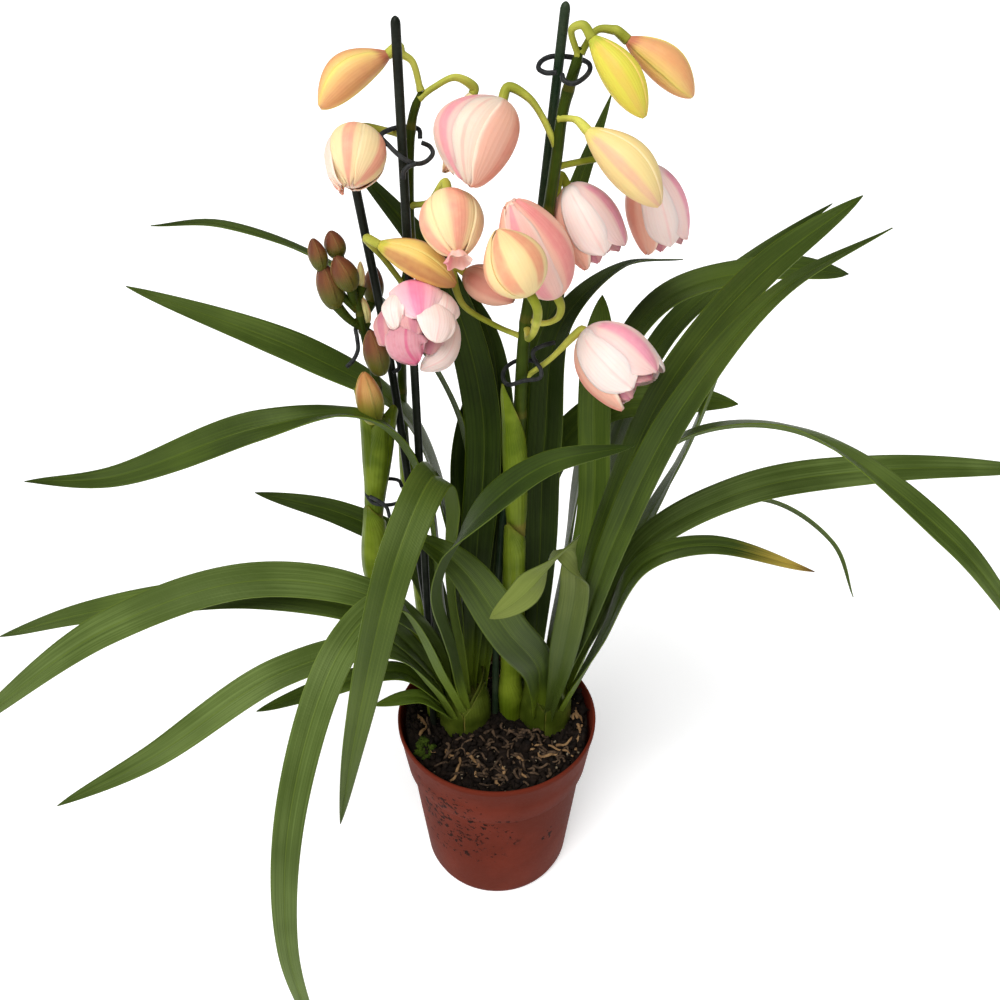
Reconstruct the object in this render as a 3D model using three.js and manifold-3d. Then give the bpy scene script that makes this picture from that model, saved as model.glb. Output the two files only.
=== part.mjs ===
// Potted orchid: a cymbidium with two growths, three flower stems and three plant stakes in a nursery pot.
// Millimetres, +Z up. The origin is the middle of the pot's base. The plant's front looks along -Y, its
// longest leaves arch out along +X and -X.
import * as THREE from 'three';
import { mergeVertices } from 'three/addons/utils/BufferGeometryUtils.js';
import Module from 'manifold-3d';

const wasm = await Module();
wasm.setup();

// ---------------------------------------------------------------- driving dimensions

const POT_HEIGHT = 120;
const POT_RIM_RADIUS = 60;
const POT_BASE_RADIUS = 45;
const POT_WALL = 1.4;
const POT_SIDES = 28;
const COLLAR_DEPTH = 34; // the wider band under the rim
const COLLAR_STEP = 2.6; // how far the band stands out
const DRAIN_HOLES = 8;
const DRAIN_HOLE_RADIUS = 2.5;
const DRAIN_RING_RADIUS = 33;

const SOIL_LEVEL = 106;
const STAKE_RADIUS = 2;
const STAKE_FOOT = 8; // height of a stake's lower end
const WIRE_RADIUS = 0.9;
const GAP = 0.3; // what touching pieces keep between them

const PETAL_WALL = 0.9;
const BLADE_EDGE = 0.9; // thickness of a leaf at its edges
const BLADE_RIB = 1.5; // and along its midrib
const LEAF_ROOT_WIDTH = 0.34; // width at the foot over full width
const LEAF_SEGMENTS = 11;
const LEAF_TAPER = 0.55; // the share of the length where a leaf starts to narrow to its tip
const LEAF_TIP = 0.7; // half the width left at the tip
const ROOT_FOLD = 40; // degrees that each half stands up from flat at the foot
const OPEN_FOLD = 12; // and further out

const LEFT_BULB = { centre: [-19.5, 3], reach: [14.5, 14.5] };
const RIGHT_BULB = { centre: [29, 6], reach: [15, 14.5] };
const BULB_FOOT = 94;
const BULB_TOP = 139;
const BULB_SIDES = 12;
// The bulb's girth over its full girth, at shares of its height.
const BULB_PROFILE = [[0, 0.5], [0.13, 0.8], [0.31, 0.97], [0.51, 1], [0.71, 0.98], [0.87, 0.88], [1, 0.6]];
const SLOT_SHARE = 1 / LEAF_SEGMENTS; // how much of a leaf's length its slot in the bulb follows

const LEAF_GREEN = '#2f4a1e';
const YOUNG_GREEN = '#6d8c3c';
const BULB_GREEN = '#5d7426';
const STEM_GREEN = '#76912f';
const BUD_YELLOW = '#e8c069';
const BLOOM_PINK = '#e9a9a2';
const BLOOM_BLUSH = '#efc3bb';
const STAKE_BLACK = '#14180f';
const STAKE_GREEN = '#16301b';
const WIRE_GREY = '#33373a';
const POT_CLAY = '#a4503c';
const SOIL_BROWN = '#2b201a';

// ---------------------------------------------------------------- the leaves
//
// Each leaf has its width, the points its midrib runs through from the bulb to the tip, and the way its
// upper face looks, as one direction or as several that follow each other along the leaf.

const LEFT_LEAVES = {
  back_high_left: { width: 16, faces: [[0.9, -0.3, 0.5], [0.3, -0.6, 0.9], [0, -0.4, 1]], route: [
    [-18, 13, 128], [-13.5, 16, 200], [-21, 23, 321], [-66, 43, 378], [-126, 36, 411], [-161, 36, 411]] },
  mid_left: { width: 20, faces: [[0.9, -0.2, 0.5], [0.3, -1, 0.1], [0.1, -0.8, 0.8]], route: [
    [-23, 7, 128], [-21.5, 8, 198], [-27, 14, 253], [-47, 21.5, 317], [-91, 21, 351], [-170, 13, 391]] },
  sabre_left: { width: 19, faces: [[0.9, -0.2, 0.5], [0.3, -1, 0.3], [0, -0.9, 0.7]], route: [
    [-25, 1, 128], [-31, 0, 194], [-38, -7, 299], [-60, -21, 341], [-108, -26, 339], [-181, -30, 314],
    [-221, -32, 313]] },
  low_back_left: { width: 17, faces: [[0.7, -0.8, 0.3], [0.3, -1, 0.2], [0.1, -0.8, 0.7]], route: [
    [-28, 9, 128], [-32, 22, 167], [-50, 21, 231], [-83, 20, 255], [-129, 18, 271]] },
  under_left: { width: 19, faces: [[0.9, -0.2, 0.5], [0.1, -0.5, 1]], route: [
    [-31, 1, 125], [-38, -9, 164], [-70, -13, 211], [-131, -14, 227], [-219, -15, 215], [-273, -16, 198]] },
  over_left: { width: 20, faces: [[0.9, -0.2, 0.5], [0.1, -0.6, 1]], route: [
    [-28.5, -3.5, 127], [-36, -8, 184], [-66, -20, 231], [-125, -29, 249], [-195, -46, 233],
    [-283, -66, 173]] },
  folded_front: { width: 22, segments: 18, faces: [[0.6, 0.6, 0.5], [0.4, -0.2, 1], [0.3, -0.6, 0.6]],
    route: [[-19, -2, 128], [-23, -9, 189], [-26, -11, 235], [-24, -20, 294], [-29, -41, 321],
      [-44, -74, 300], [-66, -101, 216], [-77, -110, 161]] },
  long_front: { width: 18, taper: 0.3, faces: [[0.6, 0.6, 0.5], [0.3, -0.2, 1], [0, -0.8, 0.5]], route: [
    [-20, -9, 126], [-31, -20, 169], [-53, -42, 246], [-74, -74, 244], [-95, -120, 193], [-101, -151, 122],
    [-89, -165, 42]] },
  low_left: { width: 19, faces: [[0.8, 0.4, 0.5], [0.1, -0.5, 1]], route: [
    [-25.5, -9.5, 122], [-37, -15.5, 157], [-61, -22, 194], [-114, -43, 197], [-180, -76, 168],
    [-222, -98, 159]] },
  cross_front: { width: 18, faces: [[-0.4, 0.8, 0.4], [-0.7, -0.6, 0.5], [0, -0.8, 0.7]], route: [
    [-15, -8, 126], [-22, -24, 194], [-27, -43, 262], [-7, -49, 306], [22, -54, 337], [59, -60, 351]] },
  tall_left: { width: 20, faces: [[-0.3, -0.9, 0.3], [-0.2, -0.9, 0.5]], route: [
    [-15, 4, 128], [-11, 7, 229], [-7, 15, 326], [-26, 27, 392], [-66, 35, 443]] },
  tall_mid: { width: 19, faces: [[-0.3, -0.9, 0.3], [-0.2, -0.9, 0.5]], route: [
    [-9, 6, 128], [-5, 13, 177], [2, 19, 286], [-2, 25, 355], [-16, 29, 388]] },
  tall_dark: { width: 19, faces: [[0.5, -0.8, 0.3], [0.2, -0.9, 0.5]], route: [
    [-11, 14, 128], [-10, 24, 182], [-17, 30, 284], [-6, 34, 347]] },
};

const RIGHT_LEAVES = {
  across_left: { width: 20, faces: [[0.7, 0.3, 0.5], [0.5, -0.5, 0.8]], route: [
    [24, -4, 126], [23, -16, 174], [7, -25, 209], [-19, -30, 261], [-42, -32, 283]] },
  big_right_back: { width: 22, faces: [[-0.9, -0.3, 0.4], [-0.5, -0.8, 0.5]], route: [
    [34, -0.5, 128], [43, -4, 184], [57, -11, 275], [79, -20, 359], [110, -27, 414], [143, -33, 449]] },
  big_right_front: { width: 21, faces: [[-0.9, -0.3, 0.4], [-0.5, -0.8, 0.5]], route: [
    [34, -6, 127], [45, -16, 192], [59, -28, 275], [81, -40, 357], [113, -49, 416], [149, -54, 444]] },
  shade_right: { width: 18, faces: [[-0.9, -0.2, 0.4], [-0.3, -0.4, 1]], route: [
    [30, 18, 128], [45, 30, 186], [66, 53, 280], [93, 71, 339], [132, 79, 375], [172, 86, 404]] },
  arch_right_back: { width: 20, faces: [[-0.9, -0.2, 0.4], [-0.4, -0.7, 0.6], [-0.2, -0.5, 1]], route: [
    [30, 12, 128], [38, 17, 208], [53, 28, 318], [82, 38, 372], [134, 46, 385], [174, 48, 382]] },
  short_right_back: { width: 17, faces: [[-0.9, -0.2, 0.4], [-0.5, -0.8, 0.4], [-0.2, -0.5, 1]], route: [
    [24, 17, 128], [24, 24, 189], [29, 38, 275], [59, 44, 313], [106, 42, 320], [126, 41, 319]] },
  edge_right: { width: 15, faces: [[-0.9, -0.2, 0.4], [-1, 0.4, 0.2], [-0.6, 0.3, 0.4]], route: [
    [38, 6, 127], [51, 11, 180], [73, 18, 238], [95, 25, 296], [108, 29, 340]] },
  drape_right: { width: 19, faces: [[-0.9, -0.2, 0.4], [-0.3, -0.7, 0.7], [0.1, -0.8, 0.8]], route: [
    [35, 11, 127], [51, 15, 200], [74, 12, 285], [100, -3, 322], [142, -21, 333], [208, -56, 298],
    [261, -72, 239]] },
  level_right: { width: 20, faces: [[-0.9, -0.2, 0.4], [-0.1, -0.6, 1]], route: [
    [42, 2, 126], [56, 0, 185], [80, 1, 250], [129, 11, 276], [207, 29, 278], [307, 46, 267]] },
  fine_right: { width: 13, faces: [[-0.9, -0.2, 0.4], [-0.1, -0.4, 1]], route: [
    [40, 10, 126], [61, 18, 186], [100, 24, 250], [144, 18, 266], [180, 7, 247], [198, 1, 212]] },
  burnt_right: { width: 16, faces: [[-0.9, 0.3, 0.4], [-0.1, -0.6, 1]], route: [
    [38, -5, 124], [59, -18, 200], [77, -18, 252], [108, -16, 262], [165, -19, 247]] },
  tall_right: { width: 21, faces: [[-0.2, -0.9, 0.3], [-0.2, -0.9, 0.6]], route: [
    [22, 5, 128], [24, 11, 230], [25, 18, 304], [32, 27, 365], [61, 34, 392], [89, 35, 395]] },
  tallest_back: { width: 16, faces: [[-0.3, -0.9, 0.3], [-0.3, -0.9, 0.4]], route: [
    [18, 12, 128], [19, 18, 196], [22, 34, 320], [32, 44, 402], [52, 52, 466]] },
  bent_right_back: { width: 17, faces: [[-0.4, -0.9, 0.3], [-0.1, -0.9, 0.4]], route: [
    [28, 6, 128], [40, 4, 190], [51, 9, 262], [49, 14, 332], [50, 19, 376]] },
};

// Short leaves that share their bulb's sheath and are one piece with it.
const LEFT_SHEATH_LEAVES = [
  { width: 15, faces: [[0.8, 0.4, 0.5], [0.1, -0.3, 1]], route: [
    [-27, -2, 116], [-36, -8, 139], [-56, -13, 167], [-100, -25, 165], [-134, -34, 158]] },
  { width: 11, faces: [[0.7, 0.5, 0.5], [0.1, -0.3, 1]], route: [
    [-25, -6, 116], [-35, -14, 139], [-45, -17, 151], [-70, -25, 153]] },
];
const RIGHT_SHEATH_LEAVES = [
  { width: 16, faces: [[-0.2, 0.9, 0.3], [0, -0.2, 1], [0.3, -0.8, 0.6]], route: [
    [31.5, -6, 122], [36, -20, 182], [41, -26, 247], [34, -40, 279], [12, -54, 260], [-3, -59, 251]] },
];

// ---------------------------------------------------------------- the flower stems and their blooms
//
// A bloom has the end of its stalk, its tip and its widest radius. A stalk leaves its stem at the first of
// its points and runs through the rest to the bloom.

const FLOWER_STEMS = {
  stem_left: { radii: [4, 1.9], route: [
    [-38, 9, 92], [-40, 9, 152], [-59, 4, 206], [-65, 2, 226], [-64, 1, 265], [-60, 0, 297], [-56, 0, 340],
    [-60, 0, 370], [-63, 0, 395]] },
  stem_middle: { radii: [4, 2.2], route: [
    [-36, 30, 92], [-39, 30, 127], [-45, 31, 194], [-48, 33, 261], [-49, 33, 308], [-47, 26, 342],
    [-45, 14, 375], [-38, 8.5, 410], [-37, 7.5, 433], [-36, 7, 450], [-34, 7, 467], [-30, 7, 478]] },
  stem_right: { radii: [5, 2.6], route: [
    [8, 5, 90], [9, 1, 177], [10, -5, 240], [11, -9, 320], [14, -9, 388], [21, -8, 425], [25, -7, 456],
    [27, -6, 474], [33, -6, 497]] },
};

const BLOOMS = {
  bud_upper_left: { stem: 'stem_middle', stalk: [[-30, 7, 478], [-33, 8, 490], [-37, 8, 493]],
    base: [-42, 7, 492], tip: [-70, -2, 474], radius: 7, colour: BUD_YELLOW },
  bloom_left: { stem: 'stem_middle', stalk: [[-36, 7, 459], [-41, 9, 463]],
    base: [-48, 5, 461], tip: [-65, -17, 448], radius: 13.4, colour: BLOOM_BLUSH },
  bloom_top_middle: { stem: 'stem_right', stalk: [[25, -7, 459], [19, -6, 471], [13, -7, 479]],
    base: [6, -8, 478], tip: [-14, -25, 450], radius: 16.6, colour: BLOOM_PINK },
  bloom_top_hidden: { stem: 'stem_middle', stalk: [[-31, 7, 475], [-23, 8, 482], [-14, 11, 482]],
    base: [-9, 13, 476], tip: [-22, 8, 445], radius: 8.5, colour: BLOOM_PINK },
  bloom_centre_left: { stem: 'stem_middle', stalk: [[-36, 7, 431], [-28, 0, 435]],
    base: [-21, -9, 441], tip: [-16, -33, 419], radius: 13, colour: BLOOM_PINK },
  bud_centre_left: { stem: 'stem_middle', stalk: [[-42, 10, 393], [-49, 3, 408]],
    base: [-50, -9, 420], tip: [-17, -15, 404], radius: 7.5, colour: BUD_YELLOW },
  bloom_lower_left: { stem: 'stem_middle', stalk: [[-45, 12, 378], [-38, 7, 384], [-32.5, 3, 387]],
    base: [-31, -8, 388], tip: [-38, -40, 390], radius: 17, colour: BLOOM_BLUSH, open: true },
  bud_top_right: { stem: 'stem_right', stalk: [[33, -6, 495], [39, -5, 503], [45, -5, 503]],
    base: [50, -6, 500], tip: [77, -10, 480], radius: 6.8, colour: BUD_YELLOW },
  bud_top_middle: { stem: 'stem_right', stalk: [[32, -6, 494], [29, -9, 504]],
    base: [36, -12, 502], tip: [57, -24, 476], radius: 7, colour: BUD_YELLOW },
  bud_right: { stem: 'stem_right', stalk: [[26, -6, 465], [28, -10, 471]],
    base: [36, -16, 469], tip: [65, -30, 444], radius: 9, colour: BUD_YELLOW },
  bloom_far_right: { stem: 'stem_right', stalk: [[25, -7, 452], [40, 2, 452]],
    base: [62, 10, 446], tip: [74, 11, 410], radius: 12.5, colour: BLOOM_PINK, open: true },
  bloom_right: { stem: 'stem_right', stalk: [[24, -7, 446], [33, 0, 449]],
    base: [44, 4, 442], tip: [44, -2, 407], radius: 12.5, colour: BLOOM_BLUSH, open: true },
  bloom_centre: { stem: 'stem_right', stalk: [[14, -9, 385], [21, -13, 385], [27, -18, 390]],
    base: [25, -22, 400], tip: [3, -30, 440], radius: 13.5, colour: BLOOM_PINK },
  bloom_centre_front: { stem: 'stem_right', stalk: [[14, -9, 381], [14, -26, 384], [16, -46, 398]],
    base: [14, -57, 418], tip: [1, -48, 441], radius: 12.5, colour: BUD_YELLOW },
  bloom_behind: { stem: 'stem_right', stalk: [[13, -9, 376], [0, -7, 381], [-15, -3, 390]],
    base: [-14, -3, 405], tip: [8, -10, 394], radius: 8, colour: BLOOM_PINK },
  bloom_lower_right: { stem: 'stem_right', stalk: [[12, -9, 345], [22, -11, 358]],
    base: [38, -14, 379], tip: [65, -30, 357], radius: 17, colour: BLOOM_BLUSH, open: true },
};

// The young stem's small buds: where the stalk leaves the stem, the bud's foot and its tip.
const YOUNG_BUDS = [
  [[-63, 0, 385], [-76, -5, 408], [-78, -8, 421]],
  [[-63, 0, 393], [-69, 0, 411], [-71, -2, 424]],
  [[-63, 0, 388], [-64, -5, 399], [-68, -8, 412]],
  [[-61, 0, 376], [-72, -3, 388], [-75, -5, 405]],
  [[-58, 0, 362], [-55, -7, 361], [-58, -10, 375]],
  [[-56, 0, 338], [-58, -11, 341], [-61, -14, 358]],
];
const YOUNG_BUD_RADIUS = 4.2;

const STAKES = {
  stake_left: { colour: STAKE_BLACK, route: [
    [-34, 15, STAKE_FOOT], [-34, 15, 120], [-41, 11, 208], [-50, 7, 353], [-60, 6.5, 443]] },
  stake_middle: { colour: STAKE_BLACK, route: [[-39, 0, STAKE_FOOT], [-38.5, 0, 250], [-38, 0, 507]] },
  stake_right: { colour: STAKE_GREEN, route: [
    [-1, 3, STAKE_FOOT], [-1, 3, 108], [2, 4, 237], [16, 2, 390], [27, 0, 512]] },
};

// ---------------------------------------------------------------- closed bodies from rings of points

const vector = (point) => new THREE.Vector3(...point);
const smoothstep = (low, high, x) => THREE.MathUtils.smoothstep(x, low, high);
const curveThrough = (points) => new THREE.CatmullRomCurve3(points.map(vector), false, 'centripetal');

// A closed body through rings that hold the same number of points. Each end is filled across, and the
// second half of a ring is split the other way, so that a blade's two faces have the same triangles.
function loft(rings) {
  const count = rings[0].length;
  const faces = [];
  const at = (ring, point) => ring * count + (point % count);
  for (let ring = 0; ring + 1 < rings.length; ring += 1) {
    for (let point = 0; point < count; point += 1) {
      const corners = [at(ring, point), at(ring, point + 1), at(ring + 1, point + 1), at(ring + 1, point)];
      const [a, b, c, d] = corners;
      if (point < count / 2) faces.push(a, b, c, a, c, d);
      else faces.push(a, b, d, b, c, d);
    }
  }
  for (let rung = 0; rung + 1 < count / 2; rung += 1) {
    const first = [rung, rung + 1, count - 2 - rung, count - 1 - rung];
    const [a, b, c, d] = first;
    faces.push(a, c, b, a, d, c);
    const last = first.map((point) => at(rings.length - 1, point));
    faces.push(last[0], last[1], last[2], last[0], last[2], last[3]);
  }
  const geometry = new THREE.BufferGeometry();
  const places = rings.flat().flatMap((point) => [point.x, point.y, point.z]);
  geometry.setAttribute('position', new THREE.Float32BufferAttribute(places, 3));
  geometry.setIndex(enclosedVolume(rings.flat(), faces) < 0 ? faces.reverse() : faces);
  return geometry;
}

function enclosedVolume(points, faces) {
  let sum = 0;
  for (let i = 0; i < faces.length; i += 3) {
    const [a, b, c] = [points[faces[i]], points[faces[i + 1]], points[faces[i + 2]]];
    sum += a.dot(new THREE.Vector3().crossVectors(b, c));
  }
  return sum / 6;
}

// A round rod along a curve, its radius given by a function of the share of the length.
function rod(curve, radiusAt, steps, sides = 8) {
  const frames = curve.computeFrenetFrames(steps, false);
  const rings = [];
  for (let step = 0; step <= steps; step += 1) {
    const share = step / steps;
    const centre = curve.getPointAt(share);
    const radius = radiusAt(share);
    const ring = [];
    for (let side = 0; side < sides; side += 1) {
      const angle = (2 * Math.PI * side) / sides;
      ring.push(centre.clone()
        .addScaledVector(frames.normals[step], radius * Math.cos(angle))
        .addScaledVector(frames.binormals[step], radius * Math.sin(angle)));
    }
    rings.push(ring);
  }
  return loft(rings);
}

// ---------------------------------------------------------------- joining and cutting

function toSolid(geometry) {
  const bare = geometry.clone();
  bare.deleteAttribute('normal');
  bare.deleteAttribute('uv');
  const merged = mergeVertices(bare, 1e-4);
  return new wasm.Manifold(new wasm.Mesh({
    numProp: 3,
    vertProperties: merged.attributes.position.array,
    triVerts: Uint32Array.from(merged.index.array),
  }));
}

function toGeometry(solid) {
  const mesh = solid.getMesh();
  const geometry = new THREE.BufferGeometry();
  geometry.setAttribute('position', new THREE.Float32BufferAttribute(mesh.vertProperties, 3));
  geometry.setIndex([...mesh.triVerts]);
  return geometry;
}

const joined = (geometries) => geometries.map(toSolid).reduce((whole, piece) => whole.add(piece));
const cut = (solid, geometries) => geometries.reduce((rest, tool) => rest.subtract(toSolid(tool)), solid);

// ---------------------------------------------------------------- a leaf

// The blade is a thin trough of six points round: the midrib and two edges, above and below. It is folded
// at the foot, opens out along its length and narrows to its tip. grow swells it all round, for the slot
// that holds it, and length is the share of the leaf that is made.
function leaf(spec, grow = 0, length = 1) {
  const { width, faces, route, segments = LEAF_SEGMENTS, taper = LEAF_TAPER } = spec;
  const curve = curveThrough(route);
  const steps = Math.ceil(segments * length);
  const rings = [];
  for (let step = 0; step <= steps; step += 1) {
    const share = step / segments;
    const along = curve.getTangentAt(share);
    const centre = curve.getPointAt(share);
    if (step === 0) centre.addScaledVector(along, -grow);
    const face = blend(faces, share);
    const up = face.addScaledVector(along, -face.dot(along)).normalize();
    const side = new THREE.Vector3().crossVectors(along, up);
    const opening = LEAF_ROOT_WIDTH + (1 - LEAF_ROOT_WIDTH) * smoothstep(0, 0.45, share);
    const point = Math.pow(1 - Math.pow(Math.max(0, share - taper) / (1 - taper), 2), 0.75);
    const half = Math.max(LEAF_TIP, (width / 2) * opening * point) + grow;
    const flattening = smoothstep(0, 0.35, share);
    const fold = THREE.MathUtils.degToRad(THREE.MathUtils.lerp(ROOT_FOLD, OPEN_FOLD, flattening));
    const above = (across, thickness) => centre.clone()
      .addScaledVector(side, across * half * Math.cos(fold))
      .addScaledVector(up, Math.abs(across) * half * Math.sin(fold) + thickness);
    const edge = BLADE_EDGE / 2 + grow;
    const rib = BLADE_RIB / 2 + grow;
    const upper = [above(-1, edge), above(0, rib), above(1, edge)];
    rings.push([...upper, above(1, -edge), above(0, -rib), above(-1, -edge)]);
  }
  return loft(rings);
}

// The direction a share of the way through a list of directions.
function blend(directions, share) {
  const place = Math.min(share * (directions.length - 1), directions.length - 1.0001);
  const first = Math.floor(place);
  const next = directions[Math.min(first + 1, directions.length - 1)];
  return vector(directions[first]).lerp(vector(next), place - first).normalize();
}

// ---------------------------------------------------------------- a bulb

// A rounded, slightly flattened bulb that holds each leaf's foot in a slot of its own.
function bulb(place, leaves, sheathLeaves) {
  const whole = joined([bulbBody(place), ...sheathLeaves.map((spec) => leaf(spec))]);
  return toGeometry(cut(whole, Object.values(leaves).map((spec) => leaf(spec, GAP, SLOT_SHARE))));
}

// The bulb alone, swollen by grow for the hollow that holds it in the compost.
function bulbBody({ centre, reach }, grow = 0) {
  return loft(BULB_PROFILE.map(([share, girth], index) => {
    const height = THREE.MathUtils.lerp(BULB_FOOT, BULB_TOP, share) - (index === 0 ? grow : 0);
    return ringOf(BULB_SIDES, (angle) => new THREE.Vector3(
      centre[0] + (reach[0] * girth + grow) * Math.cos(angle),
      centre[1] + (reach[1] * girth + grow) * Math.sin(angle), height));
  }));
}

// ---------------------------------------------------------------- buds and blooms

const bloomAxis = ({ base, tip }) => vector(tip).sub(vector(base)).normalize();

// A closed flower: three broad sepals whose edges meet in shallow seams from the foot to the tip.
function closedBloom({ base, tip, radius }) {
  const axis = bloomAxis({ base, tip });
  const length = vector(tip).distanceTo(vector(base));
  const [side, front] = squareTo(axis);
  const shares = [0, 0.1, 0.3, 0.6, 0.88, 1];
  const rings = shares.map((share) => {
    const girth = Math.pow(Math.sin(Math.PI * Math.pow(share, 0.85)), 0.62);
    return ringOf(12, (angle) => {
      const seam = 1 - 0.07 * Math.pow(Math.abs(Math.cos(1.5 * angle)), 6) * Math.min(1, girth * 2);
      const reach = Math.max(share < 0.5 ? 1.8 : 0.8, radius * girth * seam);
      return vector(base)
        .addScaledVector(axis, length * share)
        .addScaledVector(side, reach * Math.cos(angle))
        .addScaledVector(front, reach * Math.sin(angle));
    });
  });
  return loft(rings);
}

function ringOf(count, place) {
  return Array.from({ length: count }, (_, index) => place((2 * Math.PI * index) / count));
}

// Two directions square to an axis, the second as near to the front as it can be.
function squareTo(axis) {
  const front = new THREE.Vector3(0, -1, 0.3).normalize();
  front.addScaledVector(axis, -front.dot(axis)).normalize();
  return [new THREE.Vector3().crossVectors(front, axis), front];
}

// A half-open flower: three sepals outside two petals, all curving in towards the tip, round a lip and a
// column. Each is a thick cupped shell that grows out of a short solid neck.
function openBloom({ base, tip, radius }) {
  const axis = bloomAxis({ base, tip });
  const length = vector(tip).distanceTo(vector(base));
  const [side, front] = squareTo(axis);
  const place = (along, reach, angle) => vector(base)
    .addScaledVector(axis, along)
    .addScaledVector(side, reach * Math.cos(angle))
    .addScaledVector(front, reach * Math.sin(angle));
  const neck = loft([[0, 1.8], [0.04, radius * 0.4], [0.12, radius * 0.72], [0.15, radius * 0.2]]
    .map(([share, reach]) => ringOf(8, (angle) => place(length * share, reach, angle))));
  const pieces = [neck];
  for (let index = 0; index < 3; index += 1) {
    const middle = Math.PI / 2 + (2 * Math.PI * index) / 3;
    pieces.push(cuppedShell(place, { length, radius, middle, spread: 0.95, layer: 0, end: 1 }));
  }
  for (const middle of [Math.PI / 6, (5 * Math.PI) / 6]) {
    pieces.push(cuppedShell(place, { length, radius, middle, spread: 0.7, layer: -0.16, end: 0.94 }));
  }
  const lip = -Math.PI / 2;
  pieces.push(cuppedShell(place, { length, radius, middle: lip, spread: 0.8, layer: -0.34, end: 0.9 }));
  pieces.push(loft([[0.1, 2.2], [0.5, 1.8], [0.66, 1.2]]
    .map(([share, reach]) => ringOf(4, (angle) => place(length * share, reach, angle)))));
  return toGeometry(joined(pieces));
}

// One petal: a strip of four points across and its twin a wall thickness inside it.
function cuppedShell(place, { length, radius, middle, spread, layer, end }) {
  const rings = [0.09, 0.34, 0.7, 1].map((share) => {
    const girth = Math.pow(Math.sin(Math.PI * (0.06 + 0.86 * Math.pow(share * end, 0.9))), 0.6);
    const half = spread * Math.pow(Math.sin(Math.PI * (0.1 + 0.86 * share)), 0.5);
    const across = [-1, -0.33, 0.33, 1];
    const reach = radius * girth * (1 + layer);
    const strip = (distance) => across.map((x) => place(length * share * end, distance, middle + x * half));
    return [...strip(reach), ...strip(Math.max(0.3, reach - PETAL_WALL)).reverse()];
  });
  return loft(rings);
}

// ---------------------------------------------------------------- flower stems

// A stalk runs from its stem to a bloom and ends a gap short of it, in line with the bloom.
function stalk({ stalk: points, base, tip }) {
  const axis = bloomAxis({ base, tip });
  const before = vector(base).addScaledVector(axis, -4.5);
  const end = vector(base).addScaledVector(axis, -GAP);
  const curve = curveThrough([...points, before.toArray(), end.toArray()]);
  return rod(curve, () => 1.6, 5, 4);
}

// A sheath clasps a length of stem and stands a little off it at its upper end.
function sheath(curve, from, to, radius, lean) {
  const rings = [];
  for (let step = 0; step <= 4; step += 1) {
    const share = step / 4;
    const centre = curve.getPointAt(from + (to - from) * share).addScaledVector(vector(lean), share * share);
    const reach = radius * Math.max(0.25, Math.pow(Math.sin(Math.PI * (0.18 + 0.72 * share)), 0.8));
    rings.push(ringOf(6, (angle) => (
      new THREE.Vector3(centre.x + reach * Math.cos(angle), centre.y + reach * Math.sin(angle), centre.z))));
  }
  return loft(rings);
}

const SHEATHS = {
  stem_left: [[0.36, 0.58, 7.2, [0, 0, 0]], [0.56, 0.8, 5.6, [-3, -1, 0]], [0.58, 0.82, 5.4, [4, 0, 0]]],
  stem_middle: [[0.14, 0.3, 5.2, [0, 0, 0]], [0.4, 0.54, 4.6, [0, 1, 0]]],
  stem_right: [[0.05, 0.2, 7, [0, 0, 0]], [0.26, 0.42, 6.6, [-1, -1, 0]], [0.42, 0.61, 6.2, [-5, -1, 0]]],
};

function youngBud([, foot, tip]) {
  const axis = vector(tip).sub(vector(foot));
  const [side, front] = squareTo(axis.clone().normalize());
  const reaches = [[-0.15, 0.4], [0.2, 0.9], [0.6, 0.9], [1, 0.2]];
  return loft(reaches.map(([share, reach]) => ringOf(6, (angle) => vector(foot)
    .addScaledVector(axis, share)
    .addScaledVector(side, YOUNG_BUD_RADIUS * reach * Math.cos(angle))
    .addScaledVector(front, YOUNG_BUD_RADIUS * reach * Math.sin(angle)))));
}

function flowerStem(name) {
  const { radii, route } = FLOWER_STEMS[name];
  const curve = curveThrough(route);
  const stem = rod(curve, (share) => THREE.MathUtils.lerp(radii[0], radii[1], share), route.length + 4, 6);
  const stalks = Object.values(BLOOMS).filter((bloom) => bloom.stem === name).map(stalk);
  const sheaths = SHEATHS[name].map(([from, to, radius, lean]) => sheath(curve, from, to, radius, lean));
  const young = name === 'stem_left' ? YOUNG_BUDS : [];
  const youngStalks = young.map(([start, foot]) => rod(curveThrough([start, foot]), () => 1.3, 1, 4));
  return toGeometry(joined([stem, ...stalks, ...sheaths, ...youngStalks, ...young.map(youngBud)]));
}

// ---------------------------------------------------------------- stakes and wire clips

const stakeRod = ({ route }, radius = STAKE_RADIUS) => rod(curveThrough(route), () => radius, 6, 8);

// A bent wire clip holds a stem to its stake: it passes round the backs of both and its two ends stand off
// in front. The first post, with its radius there, is the one that the clip's first end lies beside.
const CLIPS = {
  clip_middle_top: { height: 455, stake: 'stake_middle', stem: 'stem_middle', girth: 2.6, ends: [
    [-32, -12, 458], [-37, -13, 446]] },
  clip_right_top: { height: 486, stake: 'stake_right', stem: 'stem_right', girth: 3.4, ends: [
    [16, -8, 490], [33, -17, 481]] },
  clip_left_upper: { height: 352, stake: 'stake_left', stem: 'stem_left', girth: 3.6, ends: [
    [-46, -5, 350], [-66, -6, 345]] },
  clip_left_lower: { height: 279, stake: 'stake_left', stem: 'stem_left', girth: 7, ends: [
    [-47, -8, 284], [-66, -14, 272]] },
  clip_right_low: { height: 366, stake: 'stake_right', stem: 'stem_right', girth: 4.6, ends: [
    [25, -8, 375], [24, -18, 367]] },
};

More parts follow.
